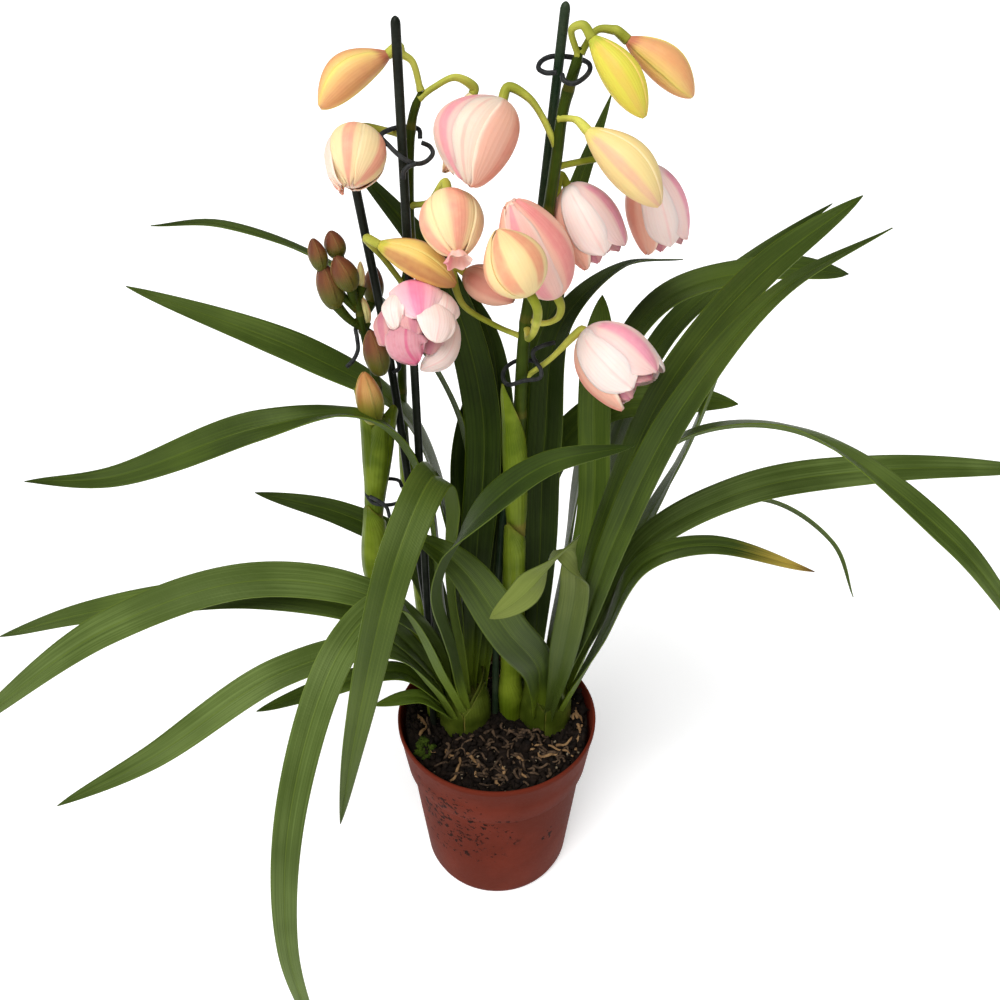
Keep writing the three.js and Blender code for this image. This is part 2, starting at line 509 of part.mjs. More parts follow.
// Where a route crosses a height, as x and y.
function crossing(route, height) {
  const curve = curveThrough(route);
  const samples = Array.from({ length: 201 }, (_, index) => curve.getPointAt(index / 200));
  const nearest = samples.reduce((best, point) => (
    Math.abs(point.z - height) < Math.abs(best.z - height) ? point : best));
  return new THREE.Vector2(nearest.x, nearest.y);
}

function clip({ height, stake, stem, girth, ends }) {
  const first = crossing(STAKES[stake].route, height);
  const second = crossing(FLOWER_STEMS[stem].route, height);
  const run = second.clone().sub(first).normalize();
  const fore = new THREE.Vector2(run.y, -run.x);
  if (fore.dot(new THREE.Vector2(...ends[0]).sub(first)) < 0) fore.negate();
  const points = [];
  const passRound = (post, radius, start, outward) => {
    for (let turn = 0; turn <= 180; turn += 45) {
      const bearing = THREE.MathUtils.degToRad(turn);
      const place = start.clone().multiplyScalar(Math.cos(bearing));
      place.addScaledVector(outward, Math.sin(bearing));
      place.multiplyScalar(radius + WIRE_RADIUS + 4 * GAP).add(post);
      points.push([place.x, place.y, height + 0.3 * points.length]);
    }
  };
  passRound(first, STAKE_RADIUS, fore, run.clone().negate());
  passRound(second, girth, fore.clone().negate(), run);
  return rod(curveThrough([ends[0], ...points, ends[1]]), () => WIRE_RADIUS, 17, 4);
}

// ---------------------------------------------------------------- pot and soil

const POT_STEP_HEIGHT = POT_HEIGHT - COLLAR_DEPTH;
const POT_NECK_RADIUS = POT_RIM_RADIUS - 6.8; // just under the collar

function potProfile() {
  return [
    [0, 0], [POT_BASE_RADIUS - 4, 0], [POT_BASE_RADIUS - 1, 1], [POT_BASE_RADIUS + 0.6, 5],
    [POT_NECK_RADIUS, POT_STEP_HEIGHT - 2], [POT_NECK_RADIUS + COLLAR_STEP, POT_STEP_HEIGHT + 1],
    [POT_RIM_RADIUS - 0.4, POT_HEIGHT - 3], [POT_RIM_RADIUS, POT_HEIGHT],
    [POT_RIM_RADIUS - POT_WALL, POT_HEIGHT],
    [POT_NECK_RADIUS + COLLAR_STEP - POT_WALL, POT_STEP_HEIGHT + 1.6],
    [POT_NECK_RADIUS - POT_WALL, POT_STEP_HEIGHT - 1.4], [POT_BASE_RADIUS - 0.8, 5.6],
    [POT_BASE_RADIUS - 3, POT_WALL], [0, POT_WALL],
  ].map(([radius, height]) => new THREE.Vector2(radius, height));
}

function pot() {
  const shell = toSolid(new THREE.LatheGeometry(potProfile(), POT_SIDES).rotateX(Math.PI / 2));
  const drains = Array.from({ length: DRAIN_HOLES }, (_, index) => {
    const bearing = (2 * Math.PI * (index + 0.5)) / DRAIN_HOLES;
    const drain = new THREE.CylinderGeometry(DRAIN_HOLE_RADIUS, DRAIN_HOLE_RADIUS, 8, 6);
    drain.rotateX(Math.PI / 2);
    return drain.translate(DRAIN_RING_RADIUS * Math.cos(bearing), DRAIN_RING_RADIUS * Math.sin(bearing), 0);
  });
  return toGeometry(cut(shell, drains));
}

// How high the compost's surface lies over its level: low waves that grow towards the rim.
const mound = (x, y) => 1.4 * Math.sin(0.19 * x + 1.1) * Math.cos(0.23 * y) + 1.1 * Math.sin(0.41 * (x - y));

// Roots that lie on the compost, each as the points it runs through over the surface.
const SURFACE_ROOTS = [
  [[-44, -14], [-38, -22], [-33, -20], [-27, -26]],
  [[-30, -22], [-22, -29], [-24, -38], [-30, -42]],
  [[-18, -24], [-11, -32], [-12, -41], [-4, -46]],
  [[-2, -28], [4, -36], [0, -43], [10, -47]],
  [[8, -24], [16, -30], [14, -38], [22, -42]],
  [[20, -20], [28, -26], [36, -24], [40, -30]],
  [[30, -14], [40, -16], [47, -12], [50, -4]],
  [[46, -22], [50, -10], [48, 4], [44, 14]],
  [[-50, 4], [-44, -4], [-46, -14], [-40, -24]],
  [[-8, 36], [4, 42], [16, 38], [28, 42]],
];
const ROOT_RADIUS = 2;

function soil(stands) {
  const inner = POT_WALL + GAP + 0.3;
  const levels = [
    [POT_WALL + GAP, POT_BASE_RADIUS - 4], [6, POT_BASE_RADIUS + 0.2 - inner],
    [POT_STEP_HEIGHT - 1, POT_NECK_RADIUS - inner],
    [POT_STEP_HEIGHT + 3, POT_NECK_RADIUS + COLLAR_STEP - inner],
    [SOIL_LEVEL - 3, POT_RIM_RADIUS - 2.2 - inner],
  ];
  const sides = 20;
  const rings = levels.map(([height, radius]) => (
    ringOf(sides, (angle) => new THREE.Vector3(radius * Math.cos(angle), radius * Math.sin(angle), height))));
  for (const radius of [47, 33, 19, 6]) {
    rings.push(ringOf(sides, (angle) => {
      const [x, y] = [radius * Math.cos(angle), radius * Math.sin(angle)];
      return new THREE.Vector3(x, y, SOIL_LEVEL + mound(x, y));
    }));
  }
  const roots = SURFACE_ROOTS.map((points, index) => {
    const route = points.map(([x, y], step) => [x, y, SOIL_LEVEL + mound(x, y) + (step % 3 ? 1.2 : -1)]);
    return rod(curveThrough(route), (share) => ROOT_RADIUS - 0.6 * share - 0.2 * (index % 2), 4, 4);
  });
  return toGeometry(cut(joined([loft(rings), ...roots]), stands));
}

// ---------------------------------------------------------------- assembly

const orchid = new THREE.Group();
orchid.name = 'potted_orchid';

function addPiece(name, geometry, color, roughness) {
  const flat = geometry.index ? geometry.toNonIndexed() : geometry;
  flat.computeVertexNormals();
  const piece = new THREE.Mesh(flat, new THREE.MeshStandardMaterial({ color, roughness, metalness: 0 }));
  piece.name = name;
  orchid.add(piece);
}

for (const [name, spec] of Object.entries({ ...LEFT_LEAVES, ...RIGHT_LEAVES })) {
  addPiece(`leaf_${name}`, leaf(spec), LEAF_GREEN, 0.45);
}
for (const [name, spec] of Object.entries(BLOOMS)) {
  addPiece(name, spec.open ? openBloom(spec) : closedBloom(spec), spec.colour, 0.5);
}
for (const name of Object.keys(FLOWER_STEMS)) addPiece(name, flowerStem(name), STEM_GREEN, 0.5);
for (const [name, spec] of Object.entries(STAKES)) addPiece(name, stakeRod(spec), spec.colour, 0.4);
for (const [name, spec] of Object.entries(CLIPS)) addPiece(name, clip(spec), WIRE_GREY, 0.5);

const stemFoot = (name, grow) => {
  const { radii, route } = FLOWER_STEMS[name];
  const foot = route[0];
  const below = [foot[0], foot[1], foot[2] - grow];
  return rod(curveThrough([below, ...route.slice(1)]), () => radii[0] + grow, route.length + 4, 6);
};
const stemTools = Object.keys(FLOWER_STEMS).map((name) => stemFoot(name, GAP));
const stakeTools = Object.values(STAKES).map((spec) => stakeRod(spec, STAKE_RADIUS + GAP));
addPiece('bulb_left', bulb(LEFT_BULB, LEFT_LEAVES, LEFT_SHEATH_LEAVES), BULB_GREEN, 0.5);
addPiece('bulb_right', bulb(RIGHT_BULB, RIGHT_LEAVES, RIGHT_SHEATH_LEAVES), BULB_GREEN, 0.5);
const bulbTools = [LEFT_BULB, RIGHT_BULB].map((place) => bulbBody(place, GAP));
addPiece('soil', soil([...stemTools, ...stakeTools, ...bulbTools]), SOIL_BROWN, 0.95);
addPiece('pot', pot(), POT_CLAY, 0.6);

export default orchid;
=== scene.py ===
"""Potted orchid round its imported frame: leaves, stems, blooms, bulbs, compost, pot, stakes and clips."""
import math

import bmesh
import bpy
import numpy as np
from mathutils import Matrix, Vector
from bpy.props import FloatProperty, FloatVectorProperty, IntProperty, PointerProperty


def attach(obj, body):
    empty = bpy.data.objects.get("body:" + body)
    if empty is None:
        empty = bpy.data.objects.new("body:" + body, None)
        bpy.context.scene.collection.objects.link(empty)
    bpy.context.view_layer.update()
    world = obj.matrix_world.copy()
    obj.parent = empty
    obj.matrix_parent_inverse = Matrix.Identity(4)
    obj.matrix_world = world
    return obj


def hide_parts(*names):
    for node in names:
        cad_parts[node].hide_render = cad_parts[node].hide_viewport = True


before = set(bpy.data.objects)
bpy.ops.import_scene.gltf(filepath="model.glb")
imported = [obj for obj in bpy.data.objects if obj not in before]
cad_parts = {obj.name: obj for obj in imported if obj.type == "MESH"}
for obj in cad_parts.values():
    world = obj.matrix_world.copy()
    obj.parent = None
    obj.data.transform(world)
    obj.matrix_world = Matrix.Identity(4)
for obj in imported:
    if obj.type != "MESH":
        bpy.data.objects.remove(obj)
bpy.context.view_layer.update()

bl_info = {
    "name": "Potted Orchid",
    "version": (1, 0, 0),
    "blender": (4, 5, 0),
    "location": "3D View > Sidebar > Orchid",
    "description": "Builds a staked cymbidium orchid in its nursery pot round a packed frame",
    "category": "Add Mesh",
}

MM = 0.001

# ------------------------------------------------------------------ routes and places, in millimetres
#
# A leaf has its width, the directions its upper face looks in from foot to tip, and the points its midrib
# runs through. look names its material where that isn't the common leaf green: the lighter looks on the outer
# leaves that face up are painted light and sheen, and the darkest look, on the upright leaves in the middle
# of the clump, is painted shade. foot is the width's share at its foot, and taper the share of its length at
# which it starts to narrow.

LEAVES = {
    "back_high_left": dict(width=15,
        faces=[(0.9, -0.3, 0.5), (1, 0, 0.1), (1, 0.1, 0.2), (0.7, 0.4, 0.6), (0.1, 0.1, 1), (0, -0.3, 1)],
        route=[(-18, 13, 128), (-13.5, 16, 200), (-21, 23, 321), (-66, 43, 378), (-126, 36, 411),
               (-161, 36, 411)]),
    "mid_left": dict(look="leaf_painted_soft_light", width=20,
        faces=[(0.9, -0.2, 0.5), (1, 0, 0.1), (1, 0, 0.2), (0.5, 0, 0.8), (0.1, -0.8, 0.7),
               (0.1, -0.8, 0.8)],
        route=[(-23, 7, 128), (-21.5, 8, 198), (-27, 14, 253), (-47, 21.5, 317), (-91, 21, 351),
               (-170, 13, 391)]),
    "sabre_left": dict(width=20,
        faces=[(0.9, -0.2, 0.5), (1, 0, 0.1), (1, 0.1, 0.2), (0.1, 0.3, 0.9), (0, -0.9, 0.7),
               (0, -0.9, 0.7)],
        route=[(-25, 1, 128), (-31, 0, 194), (-38, -7, 299), (-60, -21, 341), (-108, -26, 339),
               (-181, -30, 314), (-221, -32, 313)]),
    "low_back_left": dict(width=17,
        faces=[(0.7, -0.8, 0.3), (0.3, -1, 0.2), (0.1, -0.8, 0.7)],
        route=[(-28, 9, 128), (-32, 22, 167), (-50, 21, 231), (-83, 20, 255), (-129, 18, 271)]),
    "under_left": dict(look="leaf_painted_soft_light", width=19,
        faces=[(0.9, -0.2, 0.5), (0.1, -0.5, 1)],
        route=[(-31, 1, 125), (-38, -9, 164), (-70, -13, 211), (-131, -14, 227), (-219, -15, 215),
               (-273, -16, 198)]),
    "over_left": dict(look="leaf_painted_light", width=20,
        faces=[(0.9, -0.2, 0.5), (0.1, -0.6, 1)],
        route=[(-28.5, -3.5, 127), (-36, -8, 184), (-66, -20, 231), (-125, -29, 249), (-195, -46, 233),
               (-283, -66, 173)]),
    "folded_front": dict(width=19, look="leaf_sage",
        faces=[(0.6, 0.6, 0.5), (0.4, -0.2, 1), (0.3, -0.6, 0.6)],
        route=[(-19, -2, 128), (-23, -9, 189), (-26, -11, 235), (-24, -20, 294), (-29, -41, 321),
               (-44, -74, 300), (-66, -101, 216), (-77, -110, 161)]),
    "long_front": dict(look="leaf_painted_light", width=18, taper=0.3,
        faces=[(0.6, 0.6, 0.5), (0.3, -0.2, 1), (0, -0.8, 0.5)],
        route=[(-20, -9, 126), (-31, -20, 169), (-53, -42, 246), (-74, -74, 244), (-95, -120, 193),
               (-101, -151, 122), (-89, -165, 42)]),
    "low_left": dict(look="leaf_painted_light", width=19,
        faces=[(0.8, 0.4, 0.5), (0.1, -0.5, 1)],
        route=[(-25.5, -9.5, 122), (-37, -15.5, 157), (-61, -22, 194), (-114, -43, 197), (-180, -76, 168),
               (-222, -98, 159)]),
    "cross_front": dict(look="leaf_painted_shade", width=19,
        faces=[(-0.6, 0.8, 0.2), (-1, 0.1, 0.1), (-1, 0, 0.1), (-0.63, 0.29, 0.4), (-0.2, -0.6, 0.75),
               (0, -0.8, 0.7)],
        route=[(-15, -8, 126), (-22, -24, 194), (-27, -43, 262), (-7, -49, 306), (22, -54, 337),
               (59, -60, 351)]),
    "tall_left": dict(width=20, look="leaf_painted_shade",
        faces=[(-0.3, -0.9, 0.3), (-0.2, -0.9, 0.5)],
        route=[(-15, 4, 128), (-11, 7, 229), (-7, 15, 326), (-26, 27, 392), (-66, 35, 443)]),
    "tall_mid": dict(width=19, look="leaf_painted_shade",
        faces=[(-0.3, -0.9, 0.3), (-0.2, -0.9, 0.5)],
        route=[(-9, 6, 128), (-5, 13, 177), (2, 19, 286), (-2, 25, 355), (-16, 29, 388)]),
    "tall_dark": dict(width=19, look="leaf_painted_shade",
        faces=[(0.5, -0.8, 0.3), (0.2, -0.9, 0.5)],
        route=[(-11, 14, 128), (-10, 24, 182), (-17, 30, 284), (-6, 34, 347)]),
    "across_left": dict(width=24, foot=0.62,
        faces=[(0.3, -0.7, 0.6), (0.2, -0.8, 0.6), (0.3, -0.7, 0.6)],
        route=[(24, -4, 126), (23, -16, 174), (7, -25, 209), (-19, -30, 261), (-42, -32, 283)]),
    "big_right_back": dict(width=16, taper=0.8,
        faces=[(-0.9, -0.3, 0.4), (-0.5, -0.8, 0.5)],
        route=[(34, -0.5, 128), (43, -4, 184), (57, -11, 275), (79, -20, 359), (110, -27, 414),
               (143, -33, 449)]),
    "big_right_front": dict(width=16, taper=0.5,
        faces=[(-0.9, -0.3, 0.4), (-0.5, -0.8, 0.5), (-0.4, -0.8, 0.5), (-0.5, 0, 0.8)],
        route=[(34, -6, 127), (45, -16, 192), (59, -28, 275), (81, -40, 357), (113, -49, 416),
               (149, -54, 444)]),
    "shade_right": dict(width=18,
        faces=[(-0.9, -0.2, 0.4), (-0.3, -0.4, 1)],
        route=[(30, 18, 128), (45, 30, 186), (66, 53, 280), (93, 71, 339), (132, 79, 375), (172, 86, 404)]),
    "arch_right_back": dict(width=17, taper=0.9,
        faces=[(-0.9, -0.2, 0.4), (-1, 0, 0.2), (-0.5, -0.3, 0.8), (-0.2, -0.5, 1)],
        route=[(30, 12, 128), (38, 17, 208), (53, 28, 318), (82, 38, 372), (134, 46, 385), (174, 48, 382)]),
    "short_right_back": dict(width=19, taper=0.8, look="leaf_young",
        faces=[(-0.9, -0.2, 0.4), (-0.5, -0.8, 0.4), (0, -0.81, 0.59)],
        route=[(24, 17, 128), (24, 24, 189), (29, 38, 275), (59, 44, 309), (106, 42, 314), (128, 41, 312)]),
    "edge_right": dict(width=14, taper=0.88, look="leaf_young",
        faces=[(-0.9, -0.2, 0.4), (-0.5, -0.6, 0.5), (-0.82, 0.17, 0.23), (-0.82, 0.17, 0.23)],
        route=[(38, 6, 127), (53, 11, 180), (77, 18, 238), (101, 25, 296), (118, 32, 362)]),
    "drape_right": dict(look="leaf_painted_soft_light", width=19,
        faces=[(-0.9, -0.2, 0.4), (-1, 0, 0.2), (-0.7, 0.4, 0.6), (0, 0.45, 0.85), (0.1, -0.5, 0.85),
               (0.1, -0.8, 0.8)],
        route=[(35, 11, 127), (51, 15, 200), (74, 12, 285), (100, -3, 322), (142, -21, 333),
               (208, -56, 298), (261, -72, 239)]),
    "level_right": dict(look="leaf_painted_light", width=20,
        faces=[(-0.9, -0.2, 0.4), (-0.1, -0.6, 1)],
        route=[(42, 2, 126), (56, 0, 185), (80, 1, 250), (129, 11, 276), (207, 29, 278), (307, 46, 267)]),
    "fine_right": dict(width=12,
        faces=[(-0.9, -0.2, 0.4), (-1, 0, 0.2), (0, 0.5, 0.85), (0.5, 0.4, 0.7), (0.85, 0.3, 0.4)],
        route=[(40, 10, 126), (61, 18, 186), (100, 24, 250), (144, 18, 266), (180, 7, 247), (198, 1, 212)]),
    "burnt_right": dict(width=13.5, look="leaf_burnt",
        faces=[(-0.9, 0.3, 0.4), (-0.1, -0.6, 1)],
        route=[(38, -5, 124), (59, -18, 200), (77, -18, 252), (108, -16, 262), (165, -19, 247)]),
    "tall_right": dict(width=20, look="leaf_painted_shade",
        faces=[(-0.2, -0.9, 0.3), (-0.2, -0.9, 0.3), (-0.2, -0.9, 0.4), (-0.3, -0.9, 0.4),
               (-0.3, -0.3, 0.9), (0, 0.5, 0.85)],
        route=[(22, 5, 128), (24, 11, 230), (25, 18, 304), (32, 27, 365), (61, 34, 392), (89, 35, 395)]),
    "tallest_back": dict(width=16,
        faces=[(-0.3, -0.9, 0.3), (-0.3, -0.9, 0.4)],
        route=[(18, 12, 128), (19, 18, 196), (22, 34, 320), (32, 44, 402), (52, 52, 466)]),
    "bent_right_back": dict(width=17, taper=0.86, look="leaf_young",
        faces=[(-0.4, -0.9, 0.3), (-0.1, -0.9, 0.4)],
        route=[(28, 6, 128), (40, 4, 190), (51, 9, 262), (49, 14, 332), (50, 19, 384)]),
}

# Short leaves that grow out of a bulb's sheath and stand for no node of their own.
SHEATH_LEAVES = {
    "bulb_left": [
        dict(width=15, look="leaf_young",
            faces=[(0.8, 0.4, 0.5), (0.1, -0.3, 1)],
            route=[(-27, -2, 116), (-36, -8, 139), (-56, -13, 167), (-100, -25, 165), (-134, -34, 158)]),
        dict(width=11, look="leaf_young",
            faces=[(0.7, 0.5, 0.5), (0.1, -0.3, 1)],
            route=[(-25, -6, 116), (-35, -14, 139), (-45, -17, 151), (-70, -25, 153)])],
    "bulb_right": [
        dict(width=17, look="leaf_pale", taper=0.86,
            faces=[(-0.3, -0.9, 0.2), (-0.3, -0.9, 0.2), (-0.3, -0.9, 0.2), (-0.3, -0.9, 0.2),
                   (-0.3, -0.9, 0.2), (-0.3, -0.9, 0.2), (-0.4, -0.8, 0.3), (-0.7, -0.1, 0.7),
                   (-0.68, 0.41, 0.57), (-0.1, 0.85, -0.4), (0, 0.81, -0.59)],
            route=[(31.5, -6, 122), (36, -20, 182), (41, -26, 247), (34, -40, 279), (12, -54, 260),
                   (-3, -59, 251)])],
}

# A bulb has its middle and its reach to the side and to the back, between a foot and a top.
BULBS = {
    "bulb_left": dict(centre=(-19.5, 3), reach=(14.5, 14.5)),
    "bulb_right": dict(centre=(29, 6), reach=(15, 14.5)),
}
BULB_FOOT, BULB_TOP = 94, 139

# A bloom hangs from its stem by a stalk, from base to tip, and is as thick as twice its radius. Each of its
# petals has its middle angle in degrees and its half angle in radians, the share of the full length that it
# reaches, how far out it lies, its flare and its material's number.
BLOOMS = {
    "bud_upper_left": dict(stem="stem_middle", stalk=[(-30, 7, 478), (-33, 8, 489), (-37, 8, 492)],
        base=(-42, 7, 492), tip=(-70, -2, 474), radius=7.6, kind="bud", look="bud_dusky",
        bend=(-2.2, 0, 2.6), turn=-35),
    "bloom_left": dict(stem="stem_middle", stalk=[(-36, 7, 459), (-43, 10, 461)], neck=0.8,
        base=(-55, 6, 463), tip=(-58, -19, 447.5), radius=12.2, kind="closed", look="sepal_salmon",
        petals=[(102, 0.7, 1.0, 0.05, 0.0, 0), (178, 0.9, 0.97, 0.02, 0.0, 6),
               (28, 0.9, 0.98, 0.02, 0.0, 0), (275, 1.1, 0.95, 0.0, 0.0, 1),
               (190, 0.75, 0.99, 0.07, 0.22, 1), (212, 0.6, 1.04, 0.02, 0.34, 4)]),
    "bloom_top_middle": dict(stem="stem_right", stalk=[(25, -7, 459), (19, -6, 471), (13, -7, 479)],
        base=(3.2, -8, 478.5), tip=(-10.6, -25, 450), radius=15.2, kind="closed", look="sepal_rose",
        bend=(-5, 0, 1),
        petals=[(104, 0.75, 0.98, 0.05, 0.0, 1), (26, 1.0, 1.0, 0.08, 0.0, 4),
               (140, 0.55, 0.97, 0.09, 0.02, 7), (182, 0.85, 0.93, 0.06, 0.06, 1),
               (290, 1.3, 0.97, 0.0, 0.0, 4)]),
    "bloom_top_hidden": dict(stem="stem_middle", stalk=[(-31, 7, 475), (-25, 8, 479), (-16, 10, 482.5)],
        neck=1.5, base=(-9, 13, 476), tip=(-22, 8, 445), radius=6.8, kind="closed", look="sepal_salmon",
        bend=(4, 0, 0)),
    "bloom_centre_left": dict(stem="stem_middle", stalk=[(-36, 7, 431), (-28, 0, 435)],
        base=(-19.8, -9, 442), tip=(-15.2, -33, 424), radius=12.6, kind="closed", look="sepal_striped",
        lip=2.6,
        petals=[(70, 0.85, 1.0, 0.06, 0.0, 0), (155, 0.8, 0.98, 0.03, 0.0, 0),
               (-12, 0.8, 0.97, 0.03, 0.04, 6), (270, 1.2, 0.95, 0.0, 0.0, 4)]),
    "bud_centre_left": dict(stem="stem_middle", stalk=[(-42, 10, 393), (-49, 3, 408)], base=(-50, -9, 420),
        tip=(-17, -15, 404), radius=7.5, kind="bud", look="bud_gold", bend=(1.0, 0, 2.0), turn=20),
    "bloom_lower_left": dict(stem="stem_middle", stalk=[(-45, 12, 378), (-38, 7, 384), (-32.5, 3, 387)],
        base=(-31, -8, 388), tip=(-38, -40, 390), kind="open", look="petal_hot"),
    "bud_top_right": dict(stem="stem_right", stalk=[(33, -6, 495), (39, -5, 503), (45, -5, 503)],
        base=(50, -6, 500), tip=(77, -10, 480), radius=6.8, kind="bud", look="bud_dusky",
        bend=(1.8, 0, 1.6), turn=-25),
    "bud_top_middle": dict(stem="stem_right", stalk=[(32, -6, 494), (29, -9, 504)], base=(36, -12, 502),
        tip=(57, -24, 476), radius=7, kind="bud", look="bud_lime", bend=(1.0, 0, 1.0), turn=10),
    "bud_right": dict(stem="stem_right", stalk=[(25.5, -7, 471), (30, -11, 472)], base=(36, -16, 469),
        tip=(65, -30, 444), radius=9, kind="bud", look="bud_cream", bend=(1.4, 0, 1.6), turn=15),
    "bloom_far_right": dict(stem="stem_right", stalk=[(25, -7, 452), (40, 2, 452)], base=(64, 10, 447),
        tip=(76, 11, 411), radius=12.8, kind="tulip", look="sepal_blush", turn=-18),
    "bloom_right": dict(stem="stem_right", stalk=[(22, -7, 437), (26, -4, 441)], base=(30, 0, 442),
        tip=(48, -6, 412.5), radius=13.6, kind="tulip", look="sepal_blush", turn=-12),
    "bloom_centre": dict(stem="stem_right", stalk=[(14, -9, 385), (21, -13, 385), (27, -18, 390)],
        base=(26, -22, 402), tip=(6, -28, 446), radius=13.5, kind="closed", look="sepal_hot",
        petals=[(68, 0.8, 0.97, 0.05, 0.0, 7), (138, 0.95, 0.98, 0.08, 0.0, 0),
               (-8, 0.9, 0.95, 0.01, 0.0, 4), (250, 1.3, 0.95, 0.0, 0.0, 4)]),
    "bloom_centre_front": dict(stem="stem_right", stalk=[(14, -9, 381), (14, -26, 384), (16, -46, 398)],
        base=(14, -57, 418), tip=(1, -48, 441), radius=12.5, kind="closed", look="sepal_golden", turn=10),
    # This bloom's look is painted shade, a darker copy of the salmon sepals.
    "bloom_behind": dict(stem="stem_right", stalk=[(13, -9, 376), (0, -7, 381), (-15, -3, 390)],
        base=(-14, -3, 405), tip=(8, -10, 394), radius=8, kind="closed", look="sepal_painted_shade"),
    "bloom_lower_right": dict(stem="stem_right", stalk=[(14, -9, 356), (25, -12, 367)], neck=0.6,
        base=(39, -14, 382), tip=(66, -30, 360.5), radius=16.4, kind="tulip", look="sepal_blush", turn=-6),
}

# A stem has its radius at foot and top; a sheath its start and end along the stem, its radius, the way its
# tip leans and the share of it that narrows to the tip.
STEMS = {
    "stem_left": dict(radii=(3.4, 1.7),
        route=[(-38, 9, 92), (-40, 9, 152), (-59, 4, 206), (-65, 2, 226), (-64, 1, 265), (-60, 0, 297),
               (-56, 0, 340), (-60, 0, 370), (-63, 0, 395)],
        sheaths=[(0.0, 0.38, 5.6, (-1, 0, 0), 0.3), (0.34, 0.62, 6.8, (0, 0, 0), 0.3),
               (0.57, 0.84, 5.6, (-8, 2, 0), 0.3), (0.58, 0.81, 5.4, (4.5, 2, 0), 0.35),
               (0.6, 0.8, 5.6, (0.5, -3, 0), 0.4)]),
    "stem_middle": dict(radii=(3.4, 1.8),
        route=[(-36, 30, 92), (-39, 30, 127), (-45, 31, 194), (-48, 33, 261), (-49, 33, 308),
               (-47, 26, 342), (-45, 14, 375), (-38, 8.5, 410), (-37, 7.5, 433), (-36, 7, 450),
               (-34, 7, 467), (-30, 7, 478)],
        sheaths=[(0.0, 0.3, 5.0, (0, 0, 0), 0.3), (0.36, 0.54, 4.2, (0, 1, 0), 0.5)]),
    "stem_right": dict(radii=(4.4, 2.2),
        route=[(8, 5, 90), (9, 1, 177), (10, -5, 240), (11, -9, 320), (14, -9, 388), (21, -8, 425),
               (25, -7, 456), (27, -6, 474), (33, -6, 497)],
        sheaths=[(0.035, 0.17, 7, (-1, 0, 0), 0.5), (0.01, 0.45, 6.3, (-1, -2, 0), 0.14),
               (0.42, 0.65, 5.9, (-6, -2, 0), 0.7)]),
}

# The young stem's small buds: where the stalk leaves the stem, the bud's foot, its tip, its radius and its
# material's place in STEM_LOOKS.
YOUNG_BUDS = [
    ((-63, 0, 385), (-76, -5, 408.5), (-77.5, -7, 420), 3.9, 3),
    ((-63, 0, 393), (-69, 0, 412), (-70.5, -2, 421.5), 4.4, 3),
    ((-63, 0, 388), (-64, -5, 399.5), (-68, -8, 412.5), 5.5, 3),
    ((-61, 0, 376), (-72, -3, 390), (-75, -5, 408), 5.5, 3),
    ((-58, 0, 362), (-53.5, -7, 358.5), (-56, -10, 378.5), 5.6, 3),
    ((-56, 0, 338), (-58, -11, 335), (-60, -14, 359.5), 6.2, 4),
    ((-63, 0, 380), (-57, 14, 384), (-55.5, 14, 399), 4.6, 3),
    ((-62, 0, 374), (-59.5, 3, 378), (-60, 2, 389), 2.6, 5),
    ((-63, 0, 390), (-60.5, 4, 395), (-60, 4, 405), 1.8, 5),
]

# A stake has its material and the points its axis runs through.
STAKES = {
    "stake_left": dict(look="stake_black", route=[
        (-34, 15, 8), (-34, 15, 120), (-41, 11, 208), (-50, 7, 353), (-60, 6.5, 443)]),
    "stake_middle": dict(look="stake_black", route=[(-39, 0, 8), (-38.5, 0, 250), (-38, 0, 507)]),
    "stake_right": dict(look="stake_green", route=[
        (-1, 3, 8), (-1, 3, 108), (2, 4, 237), (16, 2, 390), (27, 0, 512)]),
}

# A clip is one or two runs of wire, each through the places listed.
CLIPS = {
    "clip_middle_top": [
        [(-31.3, 9, 458.6), (-31.7, 10.5, 461.8), (-37.1, 11.5, 462.7), (-43.3, 6, 463.1),
         (-46.6, 1, 462.1), (-43, -4, 459.5), (-37.8, -6, 455.3), (-32.8, -4, 452.3), (-28.3, 2, 451.6),
         (-26, 6, 453.7), (-27.2, 7, 455.9), (-30.4, 6, 457.8)],
        [(-32.4, -5, 452.6), (-35.6, -6.5, 451.8), (-37.3, -7, 450), (-37.8, -7, 447.1)],
    ],
    "clip_right_top": [
        [(25.9, -9, 487.9), (26.6, -11.5, 486.3), (30, -12.5, 485.4), (33.9, -11, 486.9),
         (36.9, -5, 488.8), (36.4, 0, 490.2), (32.6, 3, 491.1), (28, 5, 491.4), (22.1, 5.5, 491.3),
         (18.1, 2.5, 490.1), (17.1, -1, 488.3), (19.9, -3.5, 487.3), (24.2, -4, 487.6)],
    ],
    "clip_left_upper": [
        [(-68.6, -7, 360.2), (-65.6, -7, 363.3), (-63, -6, 368.4), (-63.2, -4, 373.4), (-64.2, 2, 375.5),
         (-59.6, 8, 371.5), (-52.7, 12, 361.7), (-47.7, 10, 355.8), (-46.1, 6, 352.6), (-48.9, 4, 351)],
    ],
    "clip_left_lower": [
        [(-51.2, 5, 273.8), (-53.8, -4, 279.1), (-57.7, -8.5, 282.3), (-62.2, -8, 283.2),
         (-65.7, -3, 284.6), (-66.1, 2, 286.1), (-63.2, 8.5, 285.9), (-56.4, 12, 284.2),
         (-50.9, 13, 282.2), (-49.2, 10, 280.5)],
        [(-63.6, -7, 286.3), (-59.3, -9.8, 285.8), (-55.5, -10, 282.2), (-54.3, -9, 275.1)],
    ],
    "clip_right_low": [
        [(26.5, -8, 373), (21.3, -12, 373.5), (16.8, -13.5, 371.3), (17.8, -14.5, 367.3),
         (20.6, -14, 362.4), (20.3, -14, 358.3), (13, -15.2, 357.4), (5.7, -13, 354.1), (3.4, -8, 355),
         (4.8, -1, 356.4), (11.5, 5, 357.4), (20, 5, 356.4)],
    ],
}

